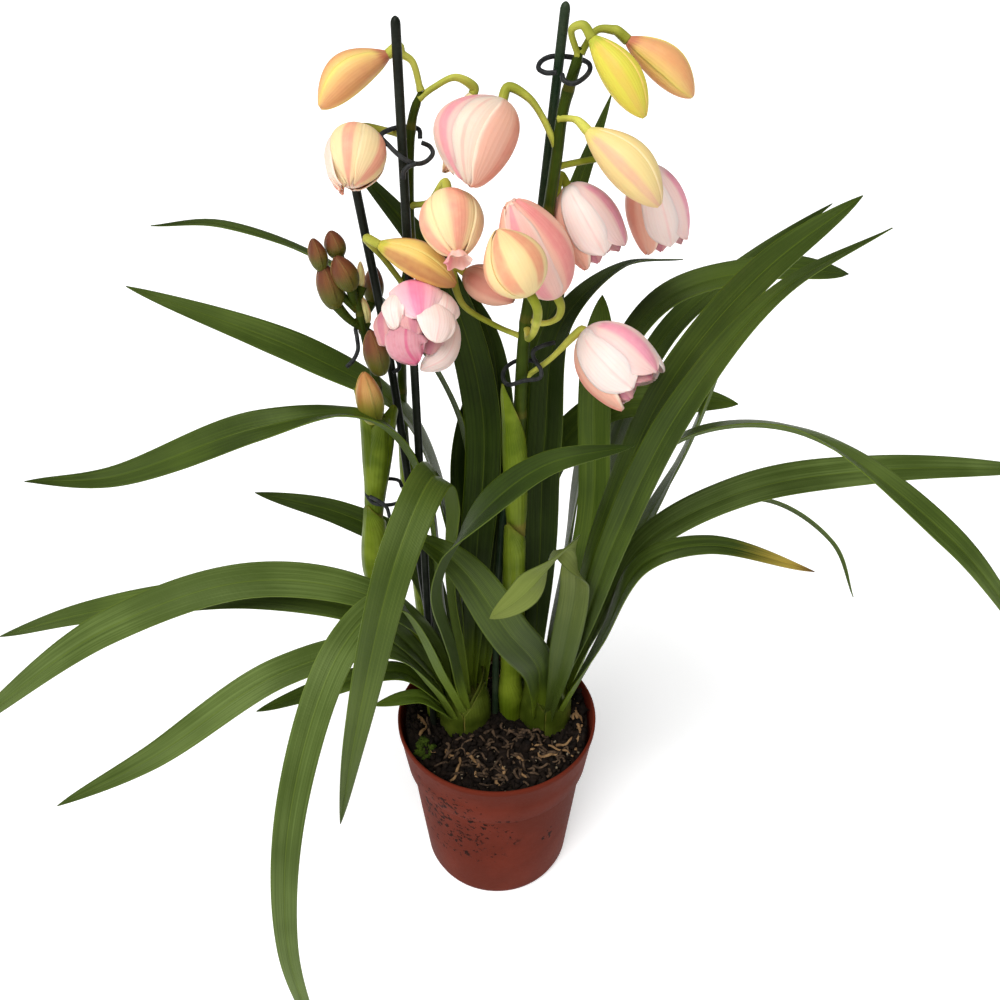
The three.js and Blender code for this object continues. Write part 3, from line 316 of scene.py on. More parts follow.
# The pot's wall from the middle of its floor out, up to the rim and back down inside, as radii and heights.
POT_WALL = [
    (0.5, 0), (41, 0), (43.4, 0.3), (44.2, 1.2), (45.6, 5), (49.4, 44), (53.2, 84), (53.5, 85.2),
    (55.2, 86.2), (55.8, 87.2), (57.6, 101), (59.3, 115.4), (59.9, 116.2), (60, 117.5), (60, 119.4),
    (59.6, 120), (58.8, 120), (58.4, 119.4), (56.6, 105), (54.4, 88), (51.8, 84.6), (44.2, 5.6), (42, 1.6),
    (0.5, 1.5)]
HOLES, HOLE_RING, HOLE_RADIUS = 8, 33, 2.5
SOIL_LEVEL, SOIL_REACH = 106, 55.4
SOIL_WALL = [(41, 2.2), (43.6, 6), (51, 85), (53.4, 89), (SOIL_REACH, 103)]
# Where the compost is banked against the wall: the bank's place, and how far it spreads across and along.
BANKS = [((52, 14), (10, 30)), ((-53, 6), (9, 28))]

# Roots that lie on the compost, each as the places it runs over, then a straw and the moss tuft's middle.
SURFACE_ROOTS = [
    [(-44, -14), (-38, -22), (-33, -20), (-27, -26)], [(-30, -22), (-22, -29), (-24, -38), (-30, -42)],
    [(-18, -24), (-11, -32), (-12, -41), (-4, -46)], [(-2, -28), (4, -36), (0, -43), (10, -47)],
    [(8, -24), (16, -30), (14, -38), (22, -42)], [(20, -20), (28, -26), (36, -24), (40, -30)],
    [(30, -14), (40, -16), (47, -12), (50, -4)], [(46, -22), (50, -10), (48, 4), (44, 14)],
    [(44, 20), (50, 10), (47, 2), (51, -8)], [(52, 14), (49, 4), (52, -2), (48, -14)],
    [(-50, 4), (-44, -4), (-46, -14), (-40, -24)], [(-8, 36), (4, 42), (16, 38), (28, 42)],
]
STRAW = [(20, -18), (34, -20), (46, -25)]
MOSS_PLACE = (-43, -20)

# ------------------------------------------------------------------ curves, grids and meshes


def bearings(count):
    """Angles evenly round a circle."""
    return np.linspace(0, 2 * np.pi, count, endpoint=False)


def unit(vectors):
    """Vectors over their own lengths."""
    return vectors / np.maximum(np.linalg.norm(vectors, axis=-1, keepdims=True), 1e-12)


def smooth(low, high, x):
    """3t^2 - 2t^3, where t runs from 0 at low to 1 at high."""
    t = np.clip((x - low) / (high - low), 0, 1)
    return t * t * (3 - 2 * t)


def spline(points, shares):
    """Cubic curve through points whose pace is the square root of their spacing, at shares of its length."""
    p = np.asarray(points, float)
    p = np.vstack([2 * p[0] - p[1], p, 2 * p[-1] - p[-2]])
    pace = np.sqrt(np.linalg.norm(np.diff(p, axis=0), axis=1))[:, None]
    before, here, there, after = p[:-3], p[1:-2], p[2:-1], p[3:]
    last, this, following = pace[:-2], pace[1:-1], pace[2:]
    leave = ((here - before) / last - (there - before) / (last + this) + (there - here) / this) * this
    arrive = ((there - here) / this - (after - here) / (this + following)
              + (after - there) / following) * this
    t = np.linspace(0, 1, 40, endpoint=False)[None, :, None]
    here, there, leave, arrive = (row[:, None, :] for row in (here, there, leave, arrive))
    curve = here + leave * t + (3 * (there - here) - 2 * leave - arrive) * t**2
    curve = curve + (2 * (here - there) + leave + arrive) * t**3
    dense = np.vstack([curve.reshape(-1, 3), p[-2:-1]])
    run = np.concatenate([[0], np.cumsum(np.linalg.norm(np.diff(dense, axis=0), axis=1))])
    wanted = np.asarray(shares) * run[-1]
    return np.stack([np.interp(wanted, run, dense[:, axis]) for axis in range(3)], axis=1)


def blend(directions, shares):
    """Directions that follow one another along a leaf, mixed in a straight line between neighbours."""
    rows = np.asarray(directions, float)
    places = np.linspace(0, 1, len(rows))
    return unit(np.stack([np.interp(shares, places, rows[:, axis]) for axis in range(3)], axis=1))


def across_and_up(path, directions, shares):
    """Two directions square to a path: across a blade that follows it, and out of the blade's upper face."""
    along = unit(np.gradient(path, axis=0))
    face = blend(directions, shares)
    up = unit(face - along * np.sum(face * along, axis=1, keepdims=True))
    return np.cross(along, up), up


def tube_grid(path, radii, sides, ridges=0, ridge_depth=0.0):
    """Circles carried along a path. Their plane is square to it and turns about the path's flattest side;
    ridges raise the radius by ridge_depth times a cosine of the angle."""
    along = unit(np.gradient(path, axis=0))
    flat = np.linalg.svd(path - path.mean(axis=0), full_matrices=False)[2][2]
    side = unit(np.cross(flat, along))
    up = np.cross(along, side)
    angle = bearings(sides)
    reach = np.broadcast_to(radii, len(path))[:, None] * (1 + ridge_depth * np.cos(ridges * angle))[None, :]
    ring = np.cos(angle)[None, :, None] * side[:, None, :] + np.sin(angle)[None, :, None] * up[:, None, :]
    return path[:, None, :] + reach[:, :, None] * ring


def patch(points, across=None, slot=0):
    """A grid of points closed round each row and filled at both ends. across gives each column's first
    texture coordinate and the row gives the second."""
    rows, columns = points.shape[:2]
    if across is None:
        across = np.linspace(0, 1, columns + 1)
    row, column = np.meshgrid(np.arange(rows - 1), np.arange(columns), indexing="ij")
    beside = (column + 1) % columns
    faces = np.stack([row * columns + column, row * columns + beside,
                      (row + 1) * columns + beside, (row + 1) * columns + column], axis=-1).reshape(-1, 4)
    left, right = across[column], across[column + 1]
    low, high = row / (rows - 1), (row + 1) / (rows - 1)
    corners = np.stack([left, low, right, low, right, high, left, high], axis=-1).reshape(-1, 2)
    first = np.arange(columns)[::-1]
    ends = [first.tolist(), (first[::-1] + (rows - 1) * columns).tolist()]
    end_corners = np.concatenate([np.column_stack([across[first], np.zeros(columns)]),
                                  np.column_stack([across[first[::-1]], np.ones(columns)])])
    return dict(points=points.reshape(-1, 3), faces=faces.tolist() + ends,
                corners=np.concatenate([corners, end_corners]), slot=slot)


def shell(outer, inner, slot=0):
    """A thin body between two grids. Its first texture coordinate runs 0 to 1 across the outer face and
    on from 1 to 2 back across the inner one."""
    columns = outer.shape[1]
    across = np.concatenate([np.linspace(0, 1, columns), np.linspace(1, 2, columns), [2]])
    return patch(np.concatenate([outer, inner[:, ::-1]], axis=1), across, slot)


def tube(route, radii, rows):
    """A round body along a route."""
    return patch(tube_grid(spline(route, np.linspace(0, 1, rows)), radii, 12))


def mesh_of(name, patches):
    """One mesh of all the patches, in metres."""
    starts = np.cumsum([0] + [len(part["points"]) for part in patches])
    points = np.concatenate([part["points"] for part in patches]) * MM
    faces = [[corner + start for corner in face]
             for part, start in zip(patches, starts) for face in part["faces"]]
    mesh = bpy.data.meshes.new(name)
    mesh.from_pydata(points.tolist(), [], faces)
    return mesh


def place(name, data):
    """An object in the scene."""
    made = bpy.data.objects.new(name, data)
    bpy.context.scene.collection.objects.link(made)
    return made


def make_piece(name, patches, looks, nodes):
    """One object of all the patches, its faces turned outwards, standing for CAD nodes."""
    mesh = mesh_of(name, patches)
    layer = mesh.uv_layers.new(name="UVMap")
    layer.data.foreach_set("uv", np.concatenate([part["corners"] for part in patches]).ravel())
    slots = np.concatenate([np.full(len(part["faces"]), part["slot"]) for part in patches])
    mesh.polygons.foreach_set("material_index", slots.astype(np.int32))
    for look in looks:
        mesh.materials.append(material(look))
    turned = bmesh.new()
    turned.from_mesh(mesh)
    bmesh.ops.recalc_face_normals(turned, faces=turned.faces)
    turned.to_mesh(mesh)
    turned.free()
    mesh.shade_smooth()
    piece = place(name, mesh)
    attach(piece, "root")
    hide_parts(*nodes)
    return piece


# ------------------------------------------------------------------ leaves

# How much further than an open leaf's each half stands up at the foot.
FOOT_FOLD = math.radians(32)


def blade(leaf, sizes, wave_seed, slot=0):
    """A strap leaf. Each row is a V whose halves stand up by a fold angle that eases from foot to middle,
    rounded along the midrib, with margins that wave by a sine of the length. The width rises along a
    smooth step and narrows near the tip as a power of one minus a square."""
    taper = leaf.get("taper", 0.55)
    draw = np.random.default_rng(wave_seed)
    share = np.linspace(0, 1, sizes.rows)
    path = spline(leaf["route"], share)
    side, up = across_and_up(path, leaf["faces"], share)
    foot = leaf.get("foot", 0.48)
    opening = foot + (1 - foot) * smooth(0, 0.45, share)
    narrowing = (1 - (np.maximum(0, share - taper) / (1 - taper)) ** 2) ** 0.75
    half = np.maximum(0.25, leaf["width"] / 2 * opening * narrowing)[:, None]
    fold = (sizes.fold + FOOT_FOLD * (1 - smooth(0, 0.3, share)))[:, None]
    x = np.linspace(-1, 1, sizes.columns)[None, :]
    waves = draw.uniform(2.0, 3.4) * share[:, None] + draw.uniform(0, 1)
    margin = sizes.wave * half * np.abs(x) ** 3 * np.sin(2 * np.pi * (waves + 0.21 * np.sign(x)))
    rise = (np.sqrt(x**2 + 0.003) - 0.055) * half * np.sin(fold) - 0.07 * half * x**2 + margin
    thick = sizes.thickness / MM * (1 - 0.55 * x**2) * (0.5 + 0.5 * narrowing[:, None])
    groove = 0.22 * np.exp(-((x / 0.08) ** 2))
    keel = 0.5 * np.exp(-((x / 0.1) ** 2)) * narrowing[:, None]
    spread = (x * half * np.cos(fold))[:, :, None] * side[:, None, :]
    top = path[:, None, :] + spread + (rise + thick / 2 - groove)[:, :, None] * up[:, None, :]
    under = path[:, None, :] + spread + (rise - thick / 2 - keel)[:, :, None] * up[:, None, :]
    return shell(top, under, slot)


# ------------------------------------------------------------------ flowers


def flower_axes(base, tip, bend=(0, 0, 0)):
    """The axis from base to tip, two directions square to it, the second as near to the front as it can
    be, and how far the middle bows out."""
    base, tip = np.asarray(base, float), np.asarray(tip, float)
    axis = unit(tip - base)
    front = np.array([0, -1, 0.3])
    front = unit(front - axis * (front @ axis))
    return dict(base=base, axis=axis, side=np.cross(front, axis), front=front, bend=np.asarray(bend, float),
                length=float(np.linalg.norm(tip - base)))


def on_flower(axes, along, reach, angle):
    """A point so far along a flower's axis, at a reach from it and an angle round it, moved by the bow
    times a sine of the length."""
    along, reach, angle = np.broadcast_arrays(along, reach, angle)
    bow = np.sin(np.pi * np.clip(along / axes["length"], 0, 1))[..., None] * axes["bend"]
    return (axes["base"] + along[..., None] * axes["axis"] + (reach * np.cos(angle))[..., None] * axes["side"]
            + (reach * np.sin(angle))[..., None] * axes["front"] + bow)


def sepal(axes, radius, middle, spread, girth, taper=(0.8, 0.25), layer=0.0, end=1.0, lift=0.4, frill=0.0,
          flare=0.0, wall=0.55, slot=0):
    """A cupped petal on a body of revolution whose radius is given by girth. Its half angle is spread,
    less a share that grows as a power of the way on from where the taper starts. One edge lifts over the
    next petal's, the middle carries a low keel, and the tip may flare out and frill."""
    s = np.linspace(0.0, 1.0, 36)[:, None]
    x = np.linspace(-1, 1, 21)[None, :]
    start, share = taper
    half = spread * (1 - share * np.clip((s - start) / (1 - start), 0, 1) ** 2.4) ** 0.6
    keel = 0.03 * radius * np.exp(-((x / 0.3) ** 2)) * smooth(0, 0.25, s)
    cup = -0.04 * radius * np.abs(x) ** 4
    edge = frill * np.sin(8 * x + 5 * s + 3 * middle) * smooth(0.66, 1, s) * (0.25 + np.abs(x))
    reach = radius * girth(s * end) * (1 + layer) + (keel + cup) * girth(s * end)
    reach = reach + lift * x * smooth(0, 0.2, s) + edge + flare * smooth(0.6, 1, s) * radius
    along = axes["length"] * s * end + frill * np.cos(6 * x + 2 + middle) * smooth(0.75, 1, s)
    angle = middle + x * half
    outer = on_flower(axes, along, np.maximum(reach, 0.5), angle)
    inner = on_flower(axes, along, np.maximum(reach - wall, 0.25), angle)
    return shell(outer, inner, slot)


def closed_girth(s):
    """Widest before the middle, with a rounded foot and tip: a power of a sine."""
    return np.sin(np.pi * np.clip(s, 0.004, 0.994) ** 0.85) ** 0.62


def bud_girth(s):
    """A narrow foot, widest past the middle, with a blunt tip: a power of a sine."""
    return 1.04 * np.sin(np.pi * np.clip(0.035 + 0.955 * s, 0.02, 0.988) ** 1.12) ** 0.66


def mouth_girth(s):
    """As a closed bloom, but cut short of the tip, so that the mouth stays about half as wide."""
    return np.sin(np.pi * (0.012 + 0.81 * np.clip(s, 0, 1.05) ** 0.85)) ** 0.6


def heart(axes, shares, radii, sides, slot):
    """The closed body inside a bloom, as rings round its axis."""
    return patch(on_flower(axes, axes["length"] * shares, radii, bearings(sides)[None, :]), slot=slot)


def petal_sheet(route, width, outward, cup, frill, slot):
    """A free petal. Its middle follows a route, its cross-section is an arc whose ends turn back from the
    outward side, and its width rises along a smooth step and closes as a rounded tip."""
    s = np.linspace(0, 1, 34)
    x = np.linspace(-1, 1, 21)[None, :]
    path = spline(route, s)
    side, up = across_and_up(path, outward, s)
    half = width / 2 * (0.4 + 0.6 * smooth(0, 0.4, s)) * (1 - (np.clip(s - 0.5, 0, 0.5) / 0.5) ** 2.2) ** 0.55
    half = np.maximum(half, 0.3)[:, None]
    ruffle = frill * np.sin(11 * x + 9 * s[:, None]) * np.abs(x) ** 1.5 * smooth(0.3, 0.9, s)[:, None]
    across = half * np.sin(cup * x) / cup
    back = half * (1 - np.cos(cup * x)) / cup - ruffle
    middle = path[:, None, :] + across[:, :, None] * side[:, None, :] - back[:, :, None] * up[:, None, :]
    return shell(middle + 0.3 * up[:, None, :], middle - 0.3 * up[:, None, :], slot)


def frilled_cup(axes, start, end, foot, mouth, slot):
    """A frilled cup round a flower's axis: its radius grows as a square from foot to mouth and waves
    round the rim."""
    s = np.linspace(0, 1, 14)[:, None]
    angle = bearings(56)[None, :]
    wave = 0.1 * mouth * np.sin(7 * angle) * s**3
    radius = foot + (mouth - foot) * s**2 + wave
    along = start + (end - start) * s + 0.12 * mouth * np.cos(5 * angle) * s**3
    outer = on_flower(axes, along, radius, angle)
    inner = on_flower(axes, along + 0.2 * (1 - s), np.maximum(radius - 0.5, 0.2), angle)
    return patch(np.concatenate([outer, inner[::-1]]), slot=slot)


def closed_flower(bloom):
    """Sepals that close over each other from foot to tip, three broad ones unless the bloom lists its own,
    round a closed heart where it isn't a bud. A frilled lip may show at the tip."""
    axes = flower_axes(bloom["base"], bloom["tip"], bloom.get("bend", (0, 0, 0)))
    turn = np.radians(bloom.get("turn", 0.0))
    bud = bloom["kind"] == "bud"
    girth = bud_girth if bud else closed_girth
    shape = dict(lift=0.22, taper=(0.8, 0.2)) if bud else dict(lift=0.5, taper=(0.78, 0.55), frill=0.25)
    petals = bloom.get("petals", [(middle, 1.17, 1.0, 0.0, 0.0, 0) for middle in (90, 210, 330)])
    parts = [sepal(axes, bloom["radius"], turn + np.radians(middle), spread, girth, layer=layer, end=end,
                   flare=flare, slot=slot, **shape) for middle, spread, end, layer, flare, slot in petals]
    if not bud:
        core = np.linspace(0.02, 0.97, 20)[:, None]
        parts.append(heart(axes, core, (bloom["radius"] * closed_girth(core) - 1.0) * 0.97, 36, slot=1))
    if "lip" in bloom:
        length = axes["length"]
        parts.append(frilled_cup(axes, length - 6, length + bloom["lip"], foot=2.4, mouth=5.6, slot=7))
    return parts


# The petals of a bloom that is opening, as those of any bloom, then where each starts to narrow.
TULIP_PETALS = [
    (104, 0.7, 0.88, 0.08, 0, 1, 0.6), (46, 0.85, 0.94, 0.05, 0.02, 3, 0.6),
    (176, 0.95, 0.97, 0.04, 0.05, 4, 0.6), (-55, 1, 1, 0, 0.09, 1, 0.55),
    (235, 1.1, 0.95, 0, 0, 3, 0.6), (62, 0.9, 0.96, -0.13, 0.03, 5, 0.5),
    (132, 0.9, 0.95, -0.14, 0, 5, 0.5), (-12, 0.95, 1, 0, 0.08, 1, 0.55),
    (200, 0.8, 0.93, -0.14, 0, 5, 0.6), (275, 1.2, 0.9, -0.18, 0, 1, 0.6),
    (90, 1.2, 0.9, -0.34, 0.05, 5, 0.6), (270, 1.3, 0.84, -0.36, 0, 2, 0.6)]


def tulip_flower(bloom):
    """A bloom that is about to open, its sepals and petals cupped in layers to a ragged mouth."""
    axes = flower_axes(bloom["base"], bloom["tip"])
    return [sepal(axes, bloom["radius"], np.radians(bloom["turn"] + middle), spread, mouth_girth,
                  (narrow, 0.98), layer, end, lift=0.35, frill=0.35, flare=flare, slot=slot)
            for middle, spread, end, layer, flare, slot, narrow in TULIP_PETALS]


# The petals of the open bloom, over its centre: places to the right, up and forward in millimetres, the
# width, the way the outer face looks, the cup, the ruffle and the material.
OPEN_PETALS = [
    ([(6, 4, -10), (14, 7, -6), (18, -3, -3), (14, -13, -1), (2, -19, 1)], 18,
     [(0.7, 0.3, 0.5), (0.8, -0.1, 0.7), (0.4, -0.6, 0.7)], 0.8, 0.4, 1),
    ([(-4, 3, -12), (-12, 10, -5), (-17, 3, 0), (-15, -9, 3)], 18,
     [(-0.6, 0.6, 0.5), (-0.7, 0.2, 0.7), (-0.5, -0.3, 0.8)], 0.7, 1.1, 5),
    ([(8, 8, -8), (13, 15, -3), (15, 10, 4), (13, 1, 9)], 21,
     [(0.6, 0.8, 0.2), (0.6, 0.5, 0.7), (0.5, 0.1, 0.9)], 0.8, 0.5, 1),
    ([(5, 8, -12), (1, 17, -5), (0, 19.5, 2), (1, 12, 10), (3, 1, 13)], 30,
     [(0, 1, 0), (0, 0.8, 0.6), (0, 0.2, 1)], 0.95, 0.5, 0),
    ([(7, 10, 4), (10, 7, 9), (12, 0, 12), (10, -9, 11)], 21,
     [(0.4, 0.4, 0.9), (0.5, 0.2, 0.9), (0.4, -0.2, 1)], 0.7, 0.4, 1),
    ([(-5, 15, 0), (-10, 12, 6), (-11, 6, 10), (-9, -3, 9)], 14,
     [(-0.4, 0.7, 0.5), (-0.4, 0.4, 0.9), (-0.3, 0, 1)], 0.8, 1.8, 1),
    ([(-2, 8, 6), (-1, 3, 10), (0, -6, 10)], 15, [(0, 0.4, 1), (0, 0.1, 1)], 0.6, 0.4, 5),
    ([(-5, 2, -4), (-9, -3, 4), (-9, -12, 6)], 18, [(-0.5, 0.1, 0.9), (-0.4, -0.4, 0.9)], 0.8, 0.8, 5),
    ([(3, 2, 0), (7, -5, 5), (6, -13, 4)], 18, [(0.3, 0.1, 0.9), (0.3, -0.4, 0.9)], 0.8, 0.6, 5),
    ([(-3, 2, 5), (-4, -5, 11), (-3, -12, 11), (1, -17, 7)], 22,
     [(0.1, 0.5, 1), (0, 0.2, 1), (0, -0.6, 0.8)], 0.8, 1.5, 2)]
OPEN_CENTRE = np.array([-34.0, -24, 389])
# The ways that are to the right, up and forward as the photo sees the open bloom.
SEEN = np.array([(1, 0, 0), (0, 0.586, 0.81), (0, -0.81, 0.586)])
SEEN_SQUEEZE, WIDTH_SHARE = (0.9, 1, 1), 0.92


def open_flower(bloom):
    """The open bloom: free petals placed round its centre, over a closed heart."""
    parts = [petal_sheet(OPEN_CENTRE + np.asarray(route, float) * SEEN_SQUEEZE @ SEEN, WIDTH_SHARE * width,
                         np.asarray(outward, float) @ SEEN, cup, frill, slot)
             for route, width, outward, cup, frill, slot in OPEN_PETALS]
    axes = flower_axes(bloom["base"], OPEN_CENTRE + 7 * SEEN[2])
    share = np.linspace(0.02, 0.98, 24)[:, None]
    parts.append(heart(axes, share, 12.5 * closed_girth(share), 40, slot=5))
    return parts


def stalk_patch(bloom):
    """A bloom's stalk and its ribbed, gently swelling ovary, which ends at the bloom's foot."""
    axes = flower_axes(bloom["base"], bloom["tip"])
    before = axes["base"] - bloom.get("neck", 5.0) * axes["axis"]
    end = axes["base"] + 0.8 * axes["axis"]
    share = np.linspace(0, 1, 44)
    path = spline([*bloom["stalk"], before, end], share)
    radii = 1.3 + 0.65 * smooth(0.4, 0.95, share) + 0.35 * (1 - smooth(0, 0.1, share))
    return patch(tube_grid(path, radii, 18, ridges=6, ridge_depth=0.05), slot=1)


# ------------------------------------------------------------------ stems

STEM_LOOKS = ["stem_green", "stalk_green", "sheath_green", "bud_brown", "bud_tan", "bud_pale"]


def stem_tube(stem):
    """A flower stem: a round taper with a low ring at each node."""
    share = np.linspace(0, 1, 150)
    path = spline(stem["route"], share)
    low, high = stem["radii"]
    radii = (low + (high - low) * share) * (1 - 0.5 * smooth(0.985, 1, share))
    for node in np.linspace(0.12, 0.96, 8):
        radii = radii + 0.32 * np.exp(-(((share - node) / 0.006) ** 2))
    return patch(tube_grid(path, radii, 20))


def sheath_patch(stem, sheath):
    """A sheath that wraps its stem all but a slit, from a snug foot to a pointed tip that leans off the
    stem. It opens as a power of the way along its tip."""
    start, end, radius, lean, tip = sheath
    s = np.linspace(0, 1, 60)[:, None]
    x = np.linspace(-1, 1, 25)[None, :]
    path = spline(stem["route"], start + (end - start) * s[:, 0]) + s**2 * np.asarray(lean, float)
    opening = np.clip((s - 1 + tip) / tip, 0, 1)
    snug = 0.8 + 0.2 * smooth(0, 0.2, s) - 0.06 * np.sin(9 * s)
    reach = radius * snug * (1 - 0.12 * opening) + 0.3 * x + 0.25 * np.exp(-((x / 0.1) ** 2))
    facing = math.atan2(-1.0, -0.7 if lean[0] <= 0 else 0.6)
    angle = facing + x * np.pi * 0.98 * (1 - 0.96 * opening**1.5)
    direction = np.stack([np.cos(angle), np.sin(angle), np.zeros_like(angle)], axis=-1)
    outer = path[:, None, :] + reach[:, :, None] * direction
    inner = path[:, None, :] + np.maximum(reach - 0.6, 0.2)[:, :, None] * direction
    return shell(outer, inner, slot=2)


def young_girth(s):
    """An egg with a pointed tip: a power of a sine, narrowed by the length."""
    return 1.1 * np.sin(np.pi * np.clip(0.1 + 0.895 * s, 0, 0.992) ** 0.95) ** 0.62 * (1 - 0.14 * s)


def young_bud(bud):
    """A small bud of three pointed sepals on a thin stalk."""
    start, foot, tip = (np.asarray(point, float) for point in bud[:3])
    radius, slot = bud[3:]
    axis = unit(tip - foot)
    axes = flower_axes(foot - 1.4 * axis, tip + 1.6 * axis)
    parts = [sepal(axes, radius, 0.9 + 2 * np.pi * k / 3, 1.15, young_girth, lift=0.3, wall=0.4, slot=slot)
             for k in range(3)]
    middle = (start + foot) / 2 + np.array([0, 0, -1.5])
    parts.append(tube([start, middle, foot], np.linspace(1.5, 2.6, 12), rows=12))
    return parts


# ------------------------------------------------------------------ bulbs, compost and pot

# A bulb's girth and that of its sheaths, as shares of its reach, at shares of its height.
BULB_SHARES = [0, 0.13, 0.31, 0.51, 0.71, 0.87, 1]
BULB_GIRTH = [0.5, 0.8, 0.97, 1, 0.98, 0.88, 0.6]
SHEATH_GIRTH = [0.5, 0.8, 0.97, 1, 0.98, 0.9, 0.78]
# A bulb's sheaths, inner ones first: the way each faces and its half width in degrees, and its peak's rise.
BULB_SHEATHS = [(180, 98, 24), (0, 96, 20), (195, 74, 14), (-20, 70, 12)]


def bulb_patches(bulb):
    """An upright bulb under four sheaths, its girth led in straight lines through the shares given. Each
    sheath wraps half of it from one side, a little outside the one before, and its top edge slants down to
    a seam."""
    centre, reach = np.asarray(bulb["centre"], float), np.asarray(bulb["reach"], float)
    height = BULB_TOP - BULB_FOOT
    s = np.linspace(0, 1, 30)[:, None]

    def wrapped(girth, angle, z):
        return np.stack([centre[0] + reach[0] * girth * np.cos(angle),
                         centre[1] + reach[1] * girth * np.sin(angle), z], axis=-1)

    angle = bearings(48)[None, :]
    parts = [patch(wrapped(np.interp(s, BULB_SHARES, BULB_GIRTH), angle, BULB_FOOT + height * s + 0 * angle))]
    across = np.linspace(-1, 1, 41)[None, :]
    for layer, (facing, spread, top) in enumerate(BULB_SHEATHS):
        rise = top * (1 - np.abs(across) ** 1.6) - 6 * np.abs(across)
        z = BULB_FOOT + 5 + (height - 9 + rise) * s
        hug = np.interp(np.clip((z - BULB_FOOT) / height, 0, 1), BULB_SHARES, SHEATH_GIRTH)
        girth = hug + 0.028 * (layer + 1) + 0.004 * np.sin(14 * across)
        turn = np.radians(facing + spread * across)
        parts.append(shell(wrapped(girth, turn, z), wrapped(girth - 0.035, turn, z), slot=1))
    return parts


def mound(x, y):
    """The compost's height over its level: a heap round the bulbs and the banks, each a bell of the
    distance, with a sine across times a cosine along and a finer sine."""
    heap = 10.5 * np.exp(-(x**2 + y**2) / 34**2)
    for (middle_x, middle_y), (wide, long) in BANKS:
        heap = heap + 10.0 * np.exp(-(((x - middle_x) / wide) ** 2) - ((y - middle_y) / long) ** 2)
    return heap + 1.4 * np.sin(0.19 * x + 1.1) * np.cos(0.23 * y) + 1.1 * np.sin(0.41 * (x - y))


def lathe(profile, sides):
    """A closed outline of radius and height, turned about the pot's axis."""
    outline, angle = np.asarray(profile, float), bearings(sides)
    ring = np.stack([np.cos(angle), np.sin(angle)], axis=-1)
    flat = outline[:, None, :1] * ring[None]
    return np.concatenate([flat, np.broadcast_to(outline[:, None, 1:], (*flat.shape[:2], 1))], axis=-1)


def drill(pot):
    """Drain holes cut through the pot's floor."""
    bearing = (np.arange(HOLES) + 0.5) * 2 * np.pi / HOLES
    places = HOLE_RING * np.stack([np.cos(bearing), np.sin(bearing)], axis=-1)
    plug = lathe([(HOLE_RADIUS, -5), (HOLE_RADIUS, 1.9)], 24)
    cutter = place("drill", mesh_of("drill", [patch(plug + [*centre, 0]) for centre in places]))
    modifier = pot.modifiers.new("holes", "BOOLEAN")
    modifier.operation, modifier.object = "DIFFERENCE", cutter
    cut = bpy.data.meshes.new_from_object(pot.evaluated_get(bpy.context.evaluated_depsgraph_get()))
    pot.modifiers.clear()
    pot.data = cut
    bpy.data.objects.remove(cutter)


def compost_body():
    """The compost: straight walls under a surface of mounds and finer sines."""
    radii, angle = np.linspace(SOIL_REACH, 1, 60)[:, None], bearings(180)
    x, y = radii * np.cos(angle), radii * np.sin(angle)
    rough = 0.7 * np.sin(1.1 * x + 0.7 * y) * np.cos(0.9 * y - 0.5 * x)
    rough = rough + 0.45 * np.sin(2.3 * x - 1.7 * y + 1) + 0.3 * np.sin(4.1 * y + 3.1 * x)
    top = np.stack([x, y, SOIL_LEVEL + mound(x, y) + rough], axis=-1)
    return patch(np.concatenate([lathe(SOIL_WALL, 180), top]))


def chips(count, draw, size, keep_out, lift, flatness=0.45, middle=(0, 0), spread=54, slot=1):
    """Loose chips on the compost: boxes whose eight corners are nudged at random, tilted and then turned
    about the upright."""
    corners = np.array([(a, b, c) for a in (-1, 1) for b in (-1, 1) for c in (-1, 1)], float)
    sides = np.array([[0, 1, 3, 2], [4, 6, 7, 5], [0, 4, 5, 1], [2, 3, 7, 6], [0, 2, 6, 4], [1, 5, 7, 3]])
    reach = spread * np.sqrt(draw.uniform(0.01, 1, count))
    bearing = draw.uniform(0, 2 * np.pi, count)
    centre = np.stack([reach * np.cos(bearing), reach * np.sin(bearing)], axis=-1) + middle
    clear = [np.linalg.norm(centre - trunk, axis=1) > radius for trunk, radius in keep_out]
    centre = centre[np.all(clear, axis=0)]
    number = len(centre)
    scale = size * draw.uniform(0.5, 1.3, (number, 1, 1)) * np.array([1, 0.6, flatness])
    shape = corners[None] * scale * draw.uniform(0.6, 1.25, (number, 8, 3))
    tilt, _ = np.linalg.qr(draw.normal(size=(number, 3, 3)) + 1.6 * np.eye(3))
    spin = draw.uniform(0, 2 * np.pi, number)
    turn = np.zeros((number, 3, 3))
    turn[:, 0, 0], turn[:, 0, 1] = np.cos(spin), -np.sin(spin)
    turn[:, 1, 0], turn[:, 1, 1] = np.sin(spin), np.cos(spin)
    turn[:, 2, 2] = 1
    shape = np.einsum("nij,nkj->nki", turn, np.einsum("nij,nkj->nki", tilt, shape))
    height = SOIL_LEVEL + mound(centre[:, 0], centre[:, 1]) + lift
    points = shape + np.column_stack([centre, height])[:, None, :]
    faces = (sides[None] + 8 * np.arange(number)[:, None, None]).reshape(-1, 4)
    sheet = np.tile([[0, 0], [1, 0], [1, 1], [0, 1]], (len(faces), 1)).astype(float)
    return dict(points=points.reshape(-1, 3), faces=faces.tolist(), corners=sheet, slot=slot)


